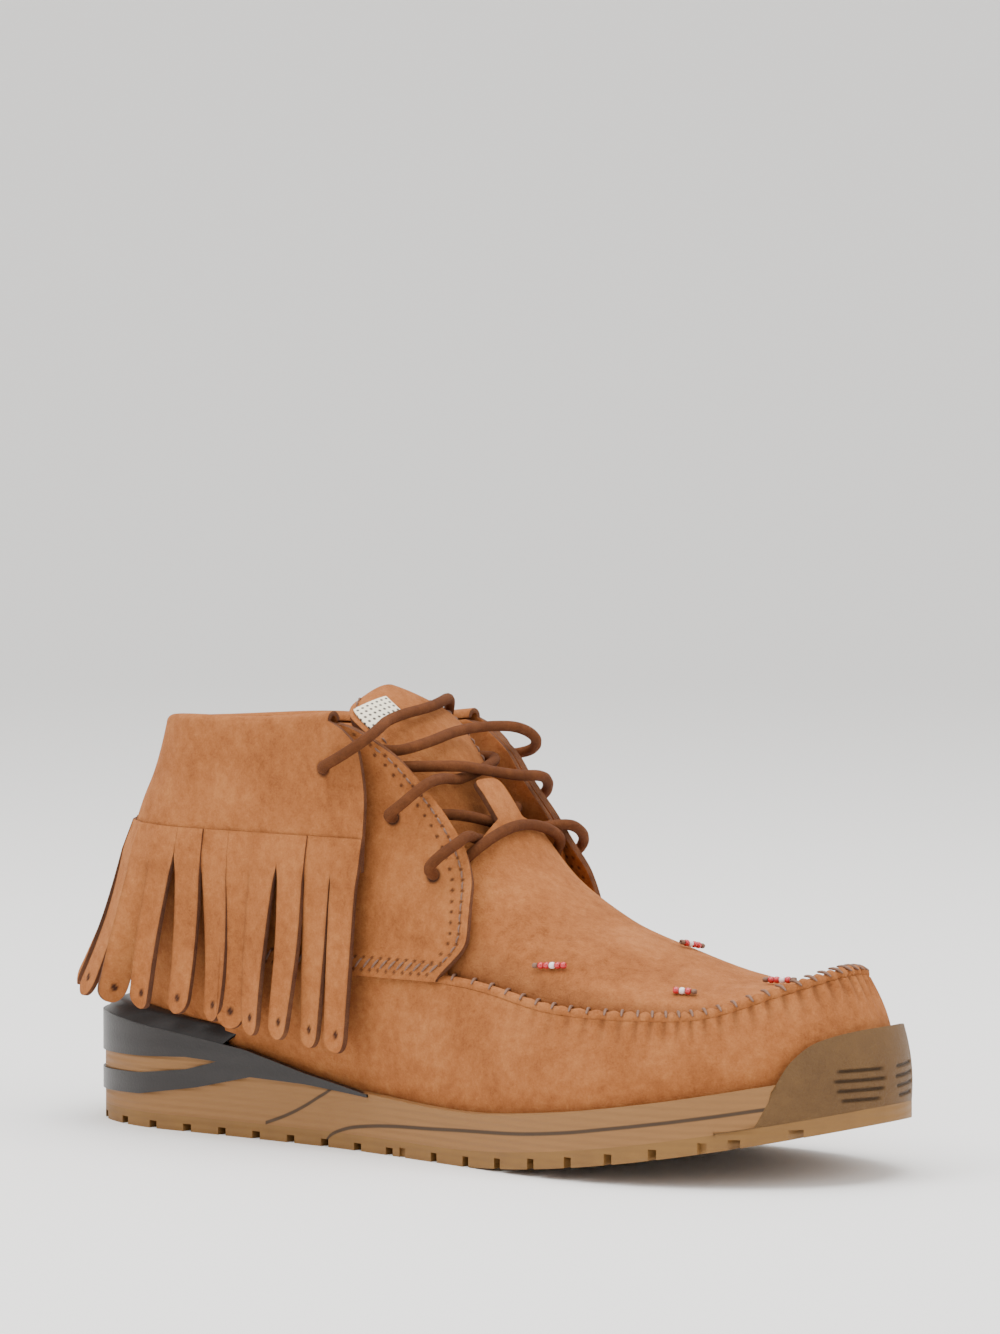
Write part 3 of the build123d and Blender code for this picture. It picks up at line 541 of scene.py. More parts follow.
# Back part. Heel panel and two quarters of the same suede, lapped over the wrap along their lower edge, where
# they are sewn with slanting stitches between two rows of pricked holes.
HEEL_ARC_X = -85.0
BACK_CORNER = 0.42  # |u| where the arc round the heel meets the straight side
HEEL_BACK = [
    (20, -143.5), (36, -142.5), (50, -138.5), (60, -135), (75, -129.5), (88, -125), (100, -121.5),
    (120, -118.5), (141, -118),
]
HALF_WIDE = [
    (20, 30.5), (28, 31.5), (36, 33.5), (50, 36.5),
    (58, 38), (75, 38.5), (95, 37.5), (115, 36.5), (141, 38),
]
ARCH_HIGH = [(-40, 420), (-20, 203), (-11, 140), (-3, 102), (7, 76), (14, 61), (20, 55)]
QUARTER_FRONT = [
    (57, 10.5), (71, 20), (86, 18.5), (96, 14), (106, 7), (118, -3), (127, -11), (133, -20), (137, -28),
    (139, -36),
]
COLLAR_TOP = 139.0
PANEL_JOIN_X = -80.0
LACE_HOLES = [(5, 89.4), (-11.3, 107), (-34.5, 121.7)]  # (x, z)
HOLE_RADIUS = 3.0
STITCH_STEP = 3.4


def half_width(x, z):
    """Half width at (x, z): side profile times an elliptic arch that closes over the instep."""
    lift = np.maximum(z - 57.0, 0) / along(x, ARCH_HIGH)
    return along(z, HALF_WIDE) * np.sqrt(np.maximum(1 - lift * lift, 0.02))


def back_surface(u, z):
    """Back part: u -1 inner front edge, 0 heel, 1 outer front edge; an elliptic arc behind, then straight."""
    side = -np.sign(u + 1e-12)
    reach = np.abs(u)
    turn = np.minimum(reach / BACK_CORNER, 1) * math.pi / 2
    x_arc = HEEL_ARC_X - (HEEL_ARC_X - along(z, HEEL_BACK)) * np.cos(turn)
    x_flank = HEEL_ARC_X + (along(z, QUARTER_FRONT) - HEEL_ARC_X) * (reach - BACK_CORNER) / (1 - BACK_CORNER)
    x = np.where(reach < BACK_CORNER, x_arc, x_flank)
    y = np.where(reach < BACK_CORNER, half_width(HEEL_ARC_X, z) * np.sin(turn), half_width(x, z))
    return np.stack([x, side * y, z], axis=-1)


def slumped(grid):
    """Soft top edge: above z 100 it sinks, by 2.5 mm at the outer front, more to the heel and inner side."""
    rise = np.clip((grid[..., 2] - 100) / 40, 0, 1)
    back = np.clip((-31 - grid[..., 0]) / 54, 0, 1.6)
    inner = np.clip((grid[..., 1] + 39) / 78, 0, 1)
    sink = 2.5 + 3.0 * back + 3.0 * inner + 0.8 * np.sin(grid[..., 0] / 13.0)
    grid[..., 2] -= sink * rise**2 * (3 - 2 * rise)
    return grid


def reach_at(x, z):
    """|u| of the side's point at x: a straight share of the way from the arc to the front edge."""
    return BACK_CORNER + (1 - BACK_CORNER) * (x - HEEL_ARC_X) / (along(z, QUARTER_FRONT) - HEEL_ARC_X)


w, z = np.meshgrid(np.linspace(-1, 1, 160), np.linspace(30, COLLAR_TOP, 90), indexing="ij")
grid = slumped(back_surface(w * reach_at(PANEL_JOIN_X - 0.4, z), z))
leather_piece("heel_panel_suede", grid, LEATHER, [tan_suede, raw_edge], "shoe", ["heel_panel"])


def share_at(x, z):
    """Share of the way from the panel join to the quarter's front edge, at x."""
    return (x - PANEL_JOIN_X) / (along(z, QUARTER_FRONT) - PANEL_JOIN_X)


def quarter_point(side, share, z):
    """Outer face of a quarter, share 0 at the panel join, 1 at its front edge; it steps out over the wrap."""
    x = PANEL_JOIN_X + (along(z, QUARTER_FRONT) - PANEL_JOIN_X) * share
    point = back_surface(side * reach_at(x, z), z)
    lap = np.clip(1 - (z - 57.0) / 12.0, 0, 1)
    point[..., 1] -= side * 2.9 * lap**2 * (3 - 2 * lap)
    return slumped(point)


def dots(grid, centres, radius):
    """Painted shade of 1 inside spots of a radius round the centres, falling to 0 over a third of it: holes
    drawn as deep spots, not cut.
    """
    shade_and_raw_edge = np.zeros(grid.shape[:2])
    for centre in centres:
        away = np.linalg.norm(grid - centre, axis=-1)
        shade_and_raw_edge = np.maximum(shade_and_raw_edge, np.clip((radius - away) / (radius / 3), 0, 1))
    return shade_and_raw_edge


for side, name in ((1, "outer"), (-1, "inner")):
    share, z = np.meshgrid(np.linspace(0, 1, 200)[::side], np.linspace(56.5, COLLAR_TOP, 160), indexing="ij")
    grid = quarter_point(side, share, z)
    one_mm = 1 / 95.0  # of the quarter's share, along its lower edge
    pricked = np.arange(0.02, 0.97, STITCH_STEP * one_mm)
    low = quarter_point(side, pricked, 0 * pricked + 58.6)
    high = quarter_point(side, pricked + 1.2 * one_mm, 0 * pricked + 62.6)
    front_z = np.arange(62, 137, 3.3)
    front_holes = []
    for inset in (3.0, 6.4):
        share = 1 - inset / (along(front_z, QUARTER_FRONT) - PANEL_JOIN_X)
        front_holes.append(quarter_point(side, share, front_z))
    hole_x, hole_z = np.array(LACE_HOLES, float).T
    eyes = quarter_point(side, share_at(hole_x, hole_z), hole_z)
    # the pricked holes and the lace holes are painted as deep spots: painted shade where no hole is cut
    shade_and_raw_edge = 0.85 * dots(grid, np.concatenate([low, high] + front_holes), 0.75)
    shade_and_raw_edge = np.maximum(shade_and_raw_edge, dots(grid, eyes, HOLE_RADIUS))
    leather_piece(
        f"quarter_{name}_suede", grid, LEATHER, [tan_suede, raw_edge], "shoe", [f"quarter_{name}"],
        shade_and_raw_edge,
    )
    out = np.array((0.0, -side, 0.0))
    stitches(
        f"lap_stitches_{name}", (low + high) / 2 + out * 0.15, high - low, np.tile(out, (len(low), 1)), 4.2,
        0.8,
    )
    run = np.gradient(front_holes[0], axis=0)
    across = unit(front_holes[1] - front_holes[0])
    outward = unit(np.cross(run, across)) * side
    outward *= np.sign(outward[:, 1:2] * -side)
    middle = (front_holes[0][:-1] + front_holes[0][1:]) / 2
    stitches(f"front_stitches_{name}", middle, run[:-1], outward[:-1], 2.6, 0.7)

# Toe bumper and heel cup. The gum-rubber bumper wraps the toe with a smooth curved top edge and four short
# level slots either side of the tip; a soft lip of the heel clip leans in to the heel panel.
BUMPER_EDGE = [(122, 12), (127, 21), (130, 29), (134.5, 38.5), (141, 45), (148, 47.5), (151, 48)]
# gum rubber from a smoother mould: browner than the sole, with a soft shine; the slots are painted near
# black, as painted shade in their recesses
bumper_rubber = matt_hide(
    "bumper_rubber", "#6E5130", "#654A2C", "#5A4127", "#2C2014", nap_mm=0.9, bloom=0.0, rough=0.5,
)
t, v = np.meshgrid(np.linspace(0.36, 0.66, 260), np.linspace(0, 1, 90), indexing="ij")
foot = curve(RIM, t)
low = 19.0 * (np.maximum(foot[..., 0] - 15, 0) / 135) ** 1.6 + 5.05
high = np.maximum(along(foot[..., 0], BUMPER_EDGE), low + 0.3)
z = low + (high - low) * v
lean = 3.0 * ((z - low) / (48.5 - low)) ** 2
grid = np.concatenate([foot, z[..., None]], axis=-1) - square_out(RIM, t) * lean[..., None]
grid += square_out(RIM, t) * (0.5 * np.sin(math.pi * v))[..., None]
tip = np.abs(t - 0.5)
slot = np.zeros(t.shape)
# each slot: its level in mm, and half its length as a part of the rim
for level, reach in ((26.5, 0.018), (29.5, 0.022), (32.5, 0.024), (35.5, 0.021)):
    line = np.clip(1.4 - np.abs(z - level) / 0.55, 0, 1)
    line *= np.clip((reach - np.abs(tip - 0.029)) / 0.004, 0, 1)
    slot = np.maximum(slot, line * (tip > 0.006))
grid -= square_out(RIM, t) * (0.7 * slot)[..., None]
# the slots are pressed in by 0.7 mm and painted deep: painted shade
leather_piece(
    "rubber_toe_bumper", grid, 2.2, [bumper_rubber], "shoe", ["toe_bumper"], 0.8 * slot,
)
CLIP_TOP = [(-153, 36), (-134, 36), (-104, 33), (-70, 28.7)]
heel_loop = np.array([
    (-80, 35.5), (-115, 35.5), (-140, 24), (-150, -1), (-140, -25), (-115, -36.5), (-80, -36.5),
])
s, v = np.meshgrid(np.linspace(0, 1, 120), np.linspace(0, 1, 14), indexing="ij")
outer = curve(heel_loop, s)
outer = np.concatenate([outer, (along(outer[..., 0], CLIP_TOP) - 0.6)[..., None]], axis=-1)
chord = np.gradient(outer[..., :2], axis=0)
outward = unit(np.stack([chord[..., 1], -chord[..., 0]], axis=-1))
outward *= np.sign(np.sum(outward * (outer[..., :2] - np.array((-100, 0))), axis=-1, keepdims=True))
outer[..., :2] += outward * 0.7
lip_high = outer[..., 2] + 4.5
inner = back_surface(s - 0.5, lip_high)
# the normals are read from a strip that rises by 0.01 mm
inner += normals_of(back_surface(s - 0.5, lip_high + 0.01 * v)) * 0.25
lip = outer + (inner - outer) * v[..., None]
lip[..., 2] += 1.4 * np.sin(math.pi * v)
leather_piece("clip_lip", lip, 1.2, [bpy.data.materials["moulded_tpu"]], "shoe")

# Footbed. A dark knit-covered foam insole that lies loose on the insole board. It is dished up a little along
# its sides, to meet the lining.
loop = np.vstack([RIM, RIM_HEEL])
loop_t = np.linspace(0.0, 1.0, 900)
outline = curve(np.vstack([loop, loop[:1]]), loop_t)
outward = np.gradient(outline, axis=0)[:, ::-1] * np.array((1, -1))
outline = outline - unit(outward) * 9.3
low_side, high_side = outline[outline[:, 1] < 2], outline[outline[:, 1] > -2]
low_side = low_side[np.argsort(low_side[:, 0])]
high_side = high_side[np.argsort(high_side[:, 0])]
turn = np.linspace(-math.pi / 2, math.pi / 2, 150)
centre_x = (outline[:, 0].min() + outline[:, 0].max()) / 2
x = centre_x + (np.ptp(outline[:, 0]) / 2 - 0.6) * np.sin(turn)
share = np.linspace(0, 1, 50)
y = np.interp(x, *low_side.T)[:, None] * (1 - share) + np.interp(x, *high_side.T)[:, None] * share
x = x[:, None] + 0 * share
edge = np.clip(np.abs(2 * share - 1) - 0.75, 0, 1) / 0.25
z = along(x, SOLE_TOP) - 2.5 + 6.0 + 1.6 * edge**2
grid = np.stack([x, y, z], axis=-1)
leather_piece("knit_footbed", grid, 3.0, [footbed_knit], "shoe", ["footbed"])

# Lining. Smooth orange-tan calf inside the back part, turned to the foot. It passes inside the heel counter
# and ends in a clean edge at the top.


def lining_surface(u, z):
    """Back surface moved in by the leather and a gap, and 1.5 mm more by the heel counter."""
    grid = back_surface(u, z)
    toward = np.clip((0.5 - np.abs(u)) / 0.12, 0, 1)
    inward = LEATHER + 0.45 + 1.5 * toward**2 * (3 - 2 * toward)
    return grid - normals_of(grid) * inward[..., None]


u, z = np.meshgrid(np.linspace(-1, 1, 240), np.linspace(34.5, COLLAR_TOP - 0.6, 70), indexing="ij")
grid = lining_surface(u, z)
grid[..., 0] = np.minimum(grid[..., 0], 9.0 + 0.2 * z / 100)
leather_piece(
    "calf_leather_lining", slumped(grid), 1.2, [calf_lining, raw_edge], "shoe",
    ["quarter_lining"],
)

# Tongue. A broad tongue of the same suede, lined, arched over the instep and rounded at the top, with a row
# of stitches inside each edge.
TONGUE_CREST = [
    (-41, 147), (-30, 141), (-20, 133), (-10, 120.5),
    (-4, 109.5), (2, 99.2), (10, 90.8), (20, 82.5), (27, 77),
]


def tongue_surface(u, v):
    """Tongue: u from base to top along the crest, v across; the sides fall as a parabola, and the top closes
    as an ellipse."""
    x = 27.0 - 68.0 * u
    wide = (20 + 7 * u) * np.sqrt(np.where(u > 0.8, np.maximum(1 - ((u - 0.8) / 0.21) ** 2, 0.02), 1.0))
    drop = (10 - 3 * u) * v * v
    return np.stack([x - drop * 0.5, -wide * v, along(x, TONGUE_CREST) - drop * 0.7], axis=-1)


u_rows = np.concatenate([np.linspace(0, 0.8, 70), np.linspace(0.81, 0.99, 40)])
u, v = np.meshgrid(u_rows, np.linspace(-1, 1, 70), indexing="ij")
grid = tongue_surface(u, v)
grid += normals_of(grid) * (0.35 * np.sin(u * 22) * np.cos(v * 3))[..., None]
leather_piece("tongue_suede", grid, 3.0, [tan_suede, raw_edge], "tongue", ["tongue"], round_edge=0.9)
u, v = np.meshgrid(np.linspace(0.02, 0.97, 60), np.linspace(-0.96, 0.96, 40), indexing="ij")
grid = tongue_surface(u, v)
leather_piece(
    "tongue_lining_calf", grid - normals_of(grid) * 3.1, 0.9, [calf_lining, raw_edge], "tongue",
    ["tongue_lining"],
)
u, v = np.meshgrid(np.linspace(0.3, 0.98, 200), np.array([-0.02, 0.0, 0.02]), indexing="ij")
for side, name in ((-1, "inner"), (1, "outer")):
    edge_v = side * (1 - 3.0 / np.linalg.norm(tongue_surface(u, v + side)[..., 1:2], axis=-1))
    grid = tongue_surface(u, edge_v + v)
    away = np.cumsum(np.linalg.norm(np.diff(grid[:, 1], axis=0, prepend=grid[:1, 1]), axis=-1))
    pick = np.searchsorted(away, np.arange(2, away[-1] - 2, STITCH_STEP))
    stitches(
        f"tongue_stitches_{name}", grid[pick, 1], np.gradient(grid[:, 1], axis=0)[pick],
        normals_of(grid)[pick, 1], 2.6, 0.7, "tongue",
    )

# Label. A small piece of cream woven ribbon with a plain grid of dark dots, sewn flat near the top of the
# tongue on its outer side.
DOT_STEP = 2.1
# rayon ribbon: pale, with a slight sheen and the ribs of its 0.7 mm warp
ribbon, tree, surface = new_material("woven_ribbon", {"Roughness": 0.75, "Sheen Weight": 0.15})
cut = add(tree, "ShaderNodeUVMap", uv_map="cut").outputs[0]
per_metre = 1000 / DOT_STEP
cells = add(tree, "ShaderNodeVectorMath", {0: cut, 1: (per_metre, per_metre, 0)}, operation="MULTIPLY")
cell = add(tree, "ShaderNodeVectorMath", {0: cells.outputs[0]}, operation="FRACTION")
away = add(tree, "ShaderNodeVectorMath", {0: cell.outputs[0], 1: (0.5, 0.5, 0)}, operation="DISTANCE")
spot = add(tree, "ShaderNodeMapRange", {"Value": away.outputs["Value"], "From Min": 0.3, "From Max": 0.2})
colour = add(tree, "ShaderNodeMix", {"Factor": spot.outputs[0]}, data_type="RGBA")
colour.inputs[6].default_value = linear("#F3E9CF")
colour.inputs[7].default_value = linear("#4A4038")
tree.links.new(colour.outputs[2], surface.inputs["Base Color"])
weave = add(tree, "ShaderNodeTexWave", {"Vector": cut, "Scale": 2 * math.pi / 20 / 0.0007})
bump = add(tree, "ShaderNodeBump", {"Height": weave.outputs[1], "Strength": 0.5, "Distance": 0.0002})
tree.links.new(bump.outputs[0], surface.inputs["Normal"])
u, v = np.meshgrid(np.linspace(0.77, 0.9, 24), np.linspace(0.36, 0.93, 24), indexing="ij")
grid = tongue_surface(u, v)
leather_piece(
    "woven_label", grid + normals_of(grid) * 0.9, 0.7, [ribbon], "tongue", ["tongue_label"],
    round_edge=0.15,
)

# Fringed collar. One long piece of 1.6 mm suede folded out over the top edge and cut into 26 strips up to
# 49 mm below the fold. Each strip hangs its own way, curls at its edges and has a pricked hole at its end.
CUT_Z = 90.0
STRIPS = 26
STRIP_THICK = 1.6
FOLD_TOP = COLLAR_TOP + 0.3
FOLD_RADIUS = 3.2
FLAP_CORNER = 0.47  # |u| where the arc behind meets the straight side
FLAP_FRONT = [(28, -19), (75, -19), (110, -17.5), (129, -20.5), (136, -27), (139.3, -33)]
FLAP_HALF = [(28, 45.5), (60, 43), (90, 41), (120, 39.4), (139.3, 38.7)]
FLAP_BACK = [
    (28, -150), (44, -148.5), (51, -146), (73, -138),
    (90, -132.5), (108, -127), (120, -123), (139.3, -118.8),
]
STRIP_END = [(-150, 45), (-115, 42), (-82, 38.5), (-55, 35.5), (-30, 31.5), (-18, 31)]
SPLAYED = (6, 8, 9, 19, 21)  # strips that are turned further than the rest


def flap_surface(u, z):
    """Inner face of the flap: an elliptic arc behind, straight sides, flaring by 0.09 of the drop at the rear
    corners."""
    side = -np.sign(u + 1e-12)
    reach = np.abs(u)
    turn = np.minimum(reach / FLAP_CORNER, 1) * math.pi / 2
    half = along(z, FLAP_HALF)
    flare = 0.09 * (FOLD_TOP - z) * np.sin(2 * turn) ** 2
    x_arc = HEEL_ARC_X - (HEEL_ARC_X - along(z, FLAP_BACK) + flare) * np.cos(turn)
    x_flank = HEEL_ARC_X + (along(z, FLAP_FRONT) - HEEL_ARC_X) * (reach - FLAP_CORNER) / (1 - FLAP_CORNER)
    x = np.where(reach < FLAP_CORNER, x_arc, x_flank)
    y = np.where(reach < FLAP_CORNER, (half + flare) * np.sin(turn), half)
    return np.stack([x, side * y, z], axis=-1)


def flap_outer(u, z):
    """Flap surface moved out by the strip's thickness, with two slow waves round the collar."""
    here = flap_surface(u, z)
    du = flap_surface(u + 0.001, z) - flap_surface(u - 0.001, z)
    dz = flap_surface(u, z + 0.05) - flap_surface(u, z - 0.05)
    wave = 0.5 * np.sin(19 * u) * (COLLAR_TOP - z) / 49
    return here + unit(np.cross(du, dz)) * (STRIP_THICK + wave)[..., None]


# the band: w 0 to 1 up its outer face and 1 to 2 over the fold, a half circle of FOLD_RADIUS
rows = np.concatenate([np.linspace(0, 1, 44)[:-1], np.linspace(1, 2, 18)])
u, w = np.meshgrid(np.linspace(-1, 1, 420), rows, indexing="ij")
band_low = CUT_Z - 0.6
z = band_low + (FOLD_TOP - band_low) * np.minimum(w, 1)
grid = flap_outer(u, z)
sunk = np.clip((CUT_Z + 9 - z) / 10, 0, 1)
grid -= unit(grid - flap_surface(u, z)) * (0.85 * sunk)[..., None]
turn = math.pi * np.maximum(w - 1, 0)
rim = flap_outer(u, 0 * u + FOLD_TOP)
rim_normal = unit(rim - flap_surface(u, 0 * u + FOLD_TOP))
fold = rim - rim_normal * (FOLD_RADIUS - FOLD_RADIUS * np.cos(turn))[..., None]
fold[..., 2] += FOLD_RADIUS * np.sin(turn)
grid = np.where((w > 1)[..., None], fold, grid)
# the top lace hole goes through the flap as well, once on each side; it is painted as a deep spot of painted
# shade, not cut
eye_x, eye_z = LACE_HOLES[2]
eye_u = FLAP_CORNER + (1 - FLAP_CORNER) * (eye_x - HEEL_ARC_X) / (-18.7 - HEEL_ARC_X)
eyes = flap_outer(np.array((-eye_u, eye_u)), np.full(2, eye_z))
leather_piece(
    "folded_collar", slumped(grid), STRIP_THICK, [tan_suede, raw_edge], "shoe", ["fringe_collar"],
    dots(grid, eyes, HOLE_RADIUS),
)

# strips of even width: u at each cut, from the arc length of the flap at the cut's level
fine_u = np.linspace(-1, 1, 801)
ring = flap_surface(fine_u, 0 * fine_u + CUT_Z)
ring_long = np.cumsum(np.linalg.norm(np.diff(ring, axis=0, prepend=ring[:1]), axis=-1))
edges = np.interp(np.linspace(0, ring_long[-1], STRIPS + 1), ring_long, fine_u)
strip_wide = ring_long[-1] / STRIPS
rng = np.random.default_rng(7)
for k in range(STRIPS):
    body = f"fringe_{STRIPS - k:02d}"
    middle_u = (edges[k] + edges[k + 1]) / 2
    root = flap_surface(np.array(middle_u), np.array(CUT_Z))
    end_z = float(along(root[0], STRIP_END)) + rng.uniform(-1.0, 1.0)
    # the end is a half circle: each lengthwise line of the grid stops on it
    v_lines = np.sin(np.linspace(-1.25, 1.25, 17)) / np.sin(1.25)
    down, v = np.meshgrid(np.linspace(0, 1, 70), v_lines, indexing="ij")
    round_end = strip_wide / 2 * (1 - np.sqrt(1 - np.minimum(v**2, 1)))
    z = CUT_Z + 10 - (CUT_Z + 10 - end_z - round_end) * down
    centre = flap_outer(np.full(z.shape, middle_u), z)
    out = unit((centre - flap_surface(np.full(z.shape, middle_u), z)) * np.array((1, 1, 0.2)))
    across = unit(np.cross(out, (0, 0, 1.0)))
    hang = np.clip((CUT_Z + 2 - z) / (CUT_Z + 2 - end_z), 0, 1)
    splay = 34 if STRIPS - k in SPLAYED else 15
    twist = math.radians(rng.normal(0, splay)) * hang**1.2
    curl = rng.uniform(-0.8, 2.6) * hang**1.6
    sway = rng.normal(0, 1.5) * np.sin(hang * math.pi * rng.uniform(0.5, 1.2))
    lift = np.abs(rng.normal(0, 1.3)) * hang**2 + 0.4 * np.sin(hang * 5 + k) * hang
    cut = np.clip((CUT_Z - z) / 5, 0, 1)
    half = strip_wide / 2 + 0.15 - 0.42 * cut
    lift -= 0.9 * np.clip((z - CUT_Z) / 10, 0, 1)
    arm = half * v
    grid = (
        centre + across * (arm * np.cos(twist) + sway)[..., None]
        + out * (arm * np.sin(twist) + curl * v**2 + lift)[..., None]
    )
    # the end hole is painted as a deep spot of painted shade; the cut sides are darkened as raw edges
    hole = grid[:, 8][np.argmin(np.abs(z[:, 8] - end_z - 5.5))]
    fuzz = 0.3 * np.clip((np.abs(v) - 0.8) / 0.2, 0, 1) * cut
    shade_and_raw_edge = np.maximum(dots(grid, [hole], 1.5), fuzz)
    strip = leather_piece(
        f"strip_{STRIPS - k:02d}", grid, STRIP_THICK, [tan_suede, raw_edge], None, [body], shade_and_raw_edge, 0.2,
    )
    x, y = root[:2] / 1000
    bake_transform(strip)

# Lace. A single rolled thong of brown suede, 3.6 mm across, threaded through three holes a side, with both
# ends tucked in behind the quarters.
# the route of the thong's middle line, in metres
LACE_ROUTE = [
    (-0.043, 0.029, 0.106), (-0.0425, 0.0294, 0.117), (-0.041, 0.0292, 0.127),
    (-0.037, 0.0286, 0.136), (-0.0315, 0.022, 0.142),
    (-0.0262, 0.01, 0.1408), (-0.0228, -0.002, 0.1396), (-0.023, -0.014, 0.1384),
    (-0.0212, -0.025, 0.1368), (-0.0178, -0.033, 0.135),
    (-0.017, -0.042, 0.1315), (-0.024, -0.0452, 0.1264),
    (-0.0343, -0.0446, 0.1216), (-0.0347, -0.03, 0.1218),  # third hole, outer side, through the flap
    (-0.026, -0.028, 0.1224), (-0.017, -0.0263, 0.1223),
    (-0.0096, -0.0225, 0.1226), (-0.0041, -0.008, 0.1222), (-0.0031, 0, 0.1207),  # over
    (-0.0024, 0.008, 0.1194), (0.0002, 0.018, 0.1176),
    (0.0015, 0.0284, 0.1173), (-0.0006, 0.0346, 0.1142), (-0.0049, 0.0388, 0.1106),
    (-0.0102, 0.0399, 0.1076), (-0.0126, 0.0281, 0.1061),  # second hole, inner side
    (-0.0065, 0.026, 0.107), (-0.002, 0.0175, 0.1056),
    (0.002, 0.008, 0.103), (0.004, 0, 0.1004), (0.0058, -0.008, 0.0986),  # under, behind tab
    (0.0086, -0.017, 0.1), (0.0127, -0.0265, 0.1022), (0.0133, -0.0326, 0.1001), (0.0106, -0.0394, 0.096),
    (0.0064, -0.0404, 0.0914), (0.0039, -0.0286, 0.0878),  # first hole, outer side
    (0.0076, -0.0258, 0.0918), (0.0137, -0.0229, 0.0977), (0.0145, -0.0125, 0.1021), (0.0145, 0, 0.1042),
    (0.0145, 0.0125, 0.1021), (0.0137, 0.0229, 0.0977), (0.0076, 0.0258, 0.0918),
    (0.0039, 0.0286, 0.0878), (0.0064, 0.0404, 0.0914),  # first hole, inner side
    (0.0106, 0.0394, 0.096), (0.0133, 0.0326, 0.1001),
    (0.0127, 0.0265, 0.1022), (0.0091, 0.017, 0.1015), (0.0086, 0.008, 0.1007),
    (0.007, 0, 0.1029), (0.0051, -0.008, 0.1054),
    (0.001, -0.0175, 0.1076), (-0.0065, -0.026, 0.1074),  # over, behind the tab
    (-0.0126, -0.0281, 0.1061), (-0.0102, -0.0399, 0.1076),  # second hole, outer side
    (-0.0052, -0.0389, 0.1112), (-0.0016, -0.0346, 0.1158),
    (-0.0006, -0.029, 0.1186), (-0.0034, -0.018, 0.119), (-0.0058, -0.008, 0.1175),
    (-0.0065, 0, 0.1188), (-0.0073, 0.008, 0.1202), (-0.0105, 0.0185, 0.1219),
    (-0.016, 0.0255, 0.1227), (-0.0255, 0.028, 0.1224),  # under
    (-0.0347, 0.03, 0.1218), (-0.0343, 0.0436, 0.1216),  # third hole, inner side, through the flap
    (-0.024, 0.0455, 0.1218), (-0.014, 0.0452, 0.124),
    (-0.0098, 0.0405, 0.1286), (-0.0115, 0.0325, 0.1324), (-0.0145, 0.022, 0.133),
    (-0.0148, 0.01, 0.1328), (-0.0142, 0, 0.132), (-0.0128, -0.01, 0.1304),
    (-0.0125, -0.02, 0.1289), (-0.0156, -0.0266, 0.1274),
    (-0.022, -0.0287, 0.1278), (-0.031, -0.0292, 0.1282),
    (-0.039, -0.0294, 0.124), (-0.043, -0.0294, 0.116), (-0.0445, -0.0292, 0.107),
]
# rolled suede thong: dark red brown, with a finer nap than the upper
thong = matt_hide("thong_suede", "#7A4728", "#62381E", "#4A2815", "#33200F", nap_mm=0.5, bloom=0.12)
lace_data = bpy.data.curves.new("lace", "CURVE")
lace_data.dimensions = "3D"
spline = lace_data.splines.new("NURBS")
spline.points.add(len(LACE_ROUTE) - 1)
for point, place in zip(spline.points, LACE_ROUTE):
    point.co = (*place, 1.0)
spline.order_u = 3
spline.use_endpoint_u = True
spline.resolution_u = 6
lace_data.bevel_depth = 0.0036 / 2
lace_data.bevel_resolution = 3
lace_data.use_fill_caps = True
lace_data.materials.append(thong)
lace = bpy.data.objects.new("suede_lace", lace_data)
bpy.context.collection.objects.link(lace)
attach(lace, "shoe")
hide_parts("lace")

# Bead trim. Four short rows of red and white glass seed beads, each 2.2 mm across, threaded on waxed thread
# between two knots and sewn to the vamp.
# each row: t and v of its middle on the vamp, its turn in degrees, and its knots, red and white beads
BEAD_ROWS = [
    (0.2, -0.84, 20, "krrwrr"), (0.315, -0.72, 25, "rwrk"), (0.245, 0.35, 80, "krwrrk"),
    (0.375, -0.05, 10, "krrwrk"),
]
BEAD_WIDE = 2.2
BEAD_LONG = 1.8
BEAD_PITCH = 1.9
BEAD_LIFT = 0.35  # from the nap of the suede to the bead's underside
BEAD_BORE = 0.5


def glass(name, code):
    """Pressed glass: a full colour under a clear gloss, with faint streaks from the drawn cane."""
    material, tree, surface = new_material(name, {"Roughness": 0.12, "IOR": 1.52, "Coat Weight": 0.4})
    place = add(tree, "ShaderNodeTexCoord").outputs["Object"]
    streak = add(tree, "ShaderNodeTexNoise", {"Vector": place, "Scale": 1000 / 1.5})
    light = add(tree, "ShaderNodeMapRange", {"Value": streak.outputs[0], "To Min": 0.8, "To Max": 1.15})
    tint = add(tree, "ShaderNodeHueSaturation", {"Color": linear(code), "Value": light.outputs[0]})
    tree.links.new(tint.outputs[0], surface.inputs["Base Color"])
    return material


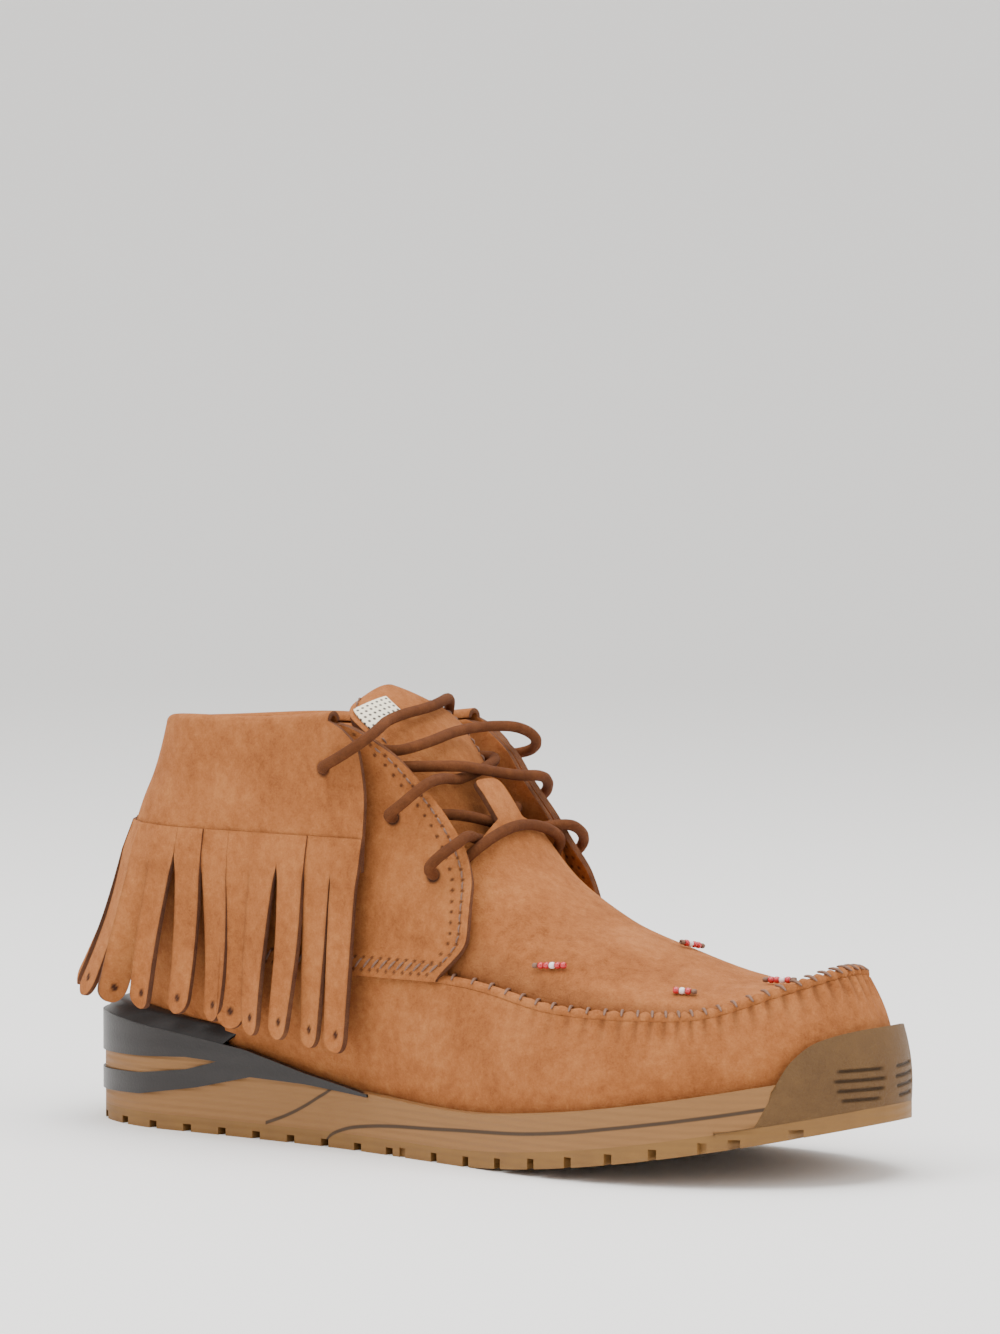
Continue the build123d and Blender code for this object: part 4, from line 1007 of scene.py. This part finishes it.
def barrels(name, middle, run, long, thick, bore, material, node):
    """Rings lathed from a rounded profile (radius, place along the thread), one for each middle."""
    run = unit(run)
    side = unit(np.cross(run, (0.3, 0.2, 1.0)))
    rise = np.cross(run, side)
    turn = np.arange(8) * math.pi / 4 + math.pi / 8
    mid_r = (thick + bore) / 4
    radius = mid_r + (thick - bore) / 4 * np.cos(turn)
    place = long / 2 * np.sin(turn)
    angle = np.arange(12) * math.pi / 6
    points = (
        middle[:, None, None] + run[:, None, None] * place[None, :, None, None]
        + side[:, None, None] * (radius[:, None] * np.cos(angle))[None, ..., None]
        + rise[:, None, None] * (radius[:, None] * np.sin(angle))[None, ..., None]
    )
    ring = np.arange(96).reshape(8, 12)
    next_ring = np.roll(ring, -1, axis=0)
    corners = [ring, next_ring, np.roll(next_ring, -1, axis=1), np.roll(ring, -1, axis=1)]
    quads = np.stack(corners, axis=-1).reshape(-1, 4)
    faces = (quads + 96 * np.arange(len(middle))[:, None, None]).reshape(-1, 4)
    mesh = bpy.data.meshes.new(name)
    mesh.from_pydata((points.reshape(-1, 3) / 1000).tolist(), [], faces.tolist())
    return finish_mesh(name, mesh, [material], "shoe", [node])


bead_middles = {"r": [], "w": [], "k": []}
bead_runs = {"r": [], "w": [], "k": []}
for t0, v0, turn, kinds in BEAD_ROWS:
    # a patch of three by three points gives the suede's slope there
    around = np.array([-0.002, 0, 0.002])
    patch = vamp_surface(*np.meshgrid(t0 + around, v0 + around, indexing="ij"))
    up = normals_of(patch)[1, 1]
    ahead = unit(np.array((1, 0, -up[0] / up[2])))
    left = np.cross(up, ahead)
    run = ahead * math.cos(math.radians(turn)) + left * math.sin(math.radians(turn))
    for i, kind in enumerate(kinds):
        step = (i - (len(kinds) - 1) / 2) * BEAD_PITCH
        bead_middles[kind].append(patch[1, 1] + up * (BEAD_WIDE / 2 + BEAD_LIFT) + run * step)
        bead_runs[kind].append(run)
for kind, name, node, slot, material, thick in (
    ("r", "red_seed_beads", "beads_red", "bead_red", glass("red_glass", "#C0202B"), BEAD_WIDE),
    ("w", "white_seed_beads", "beads_white", "bead_white", glass("white_glass", "#F2E6E6"), BEAD_WIDE),
    ("k", "thread_knots", "bead_knots", "waxed_thread", thread, 1.7),
):
    barrels(
        name, np.array(bead_middles[kind]), np.array(bead_runs[kind]), BEAD_LONG, thick, BEAD_BORE, material,
        node,
    )
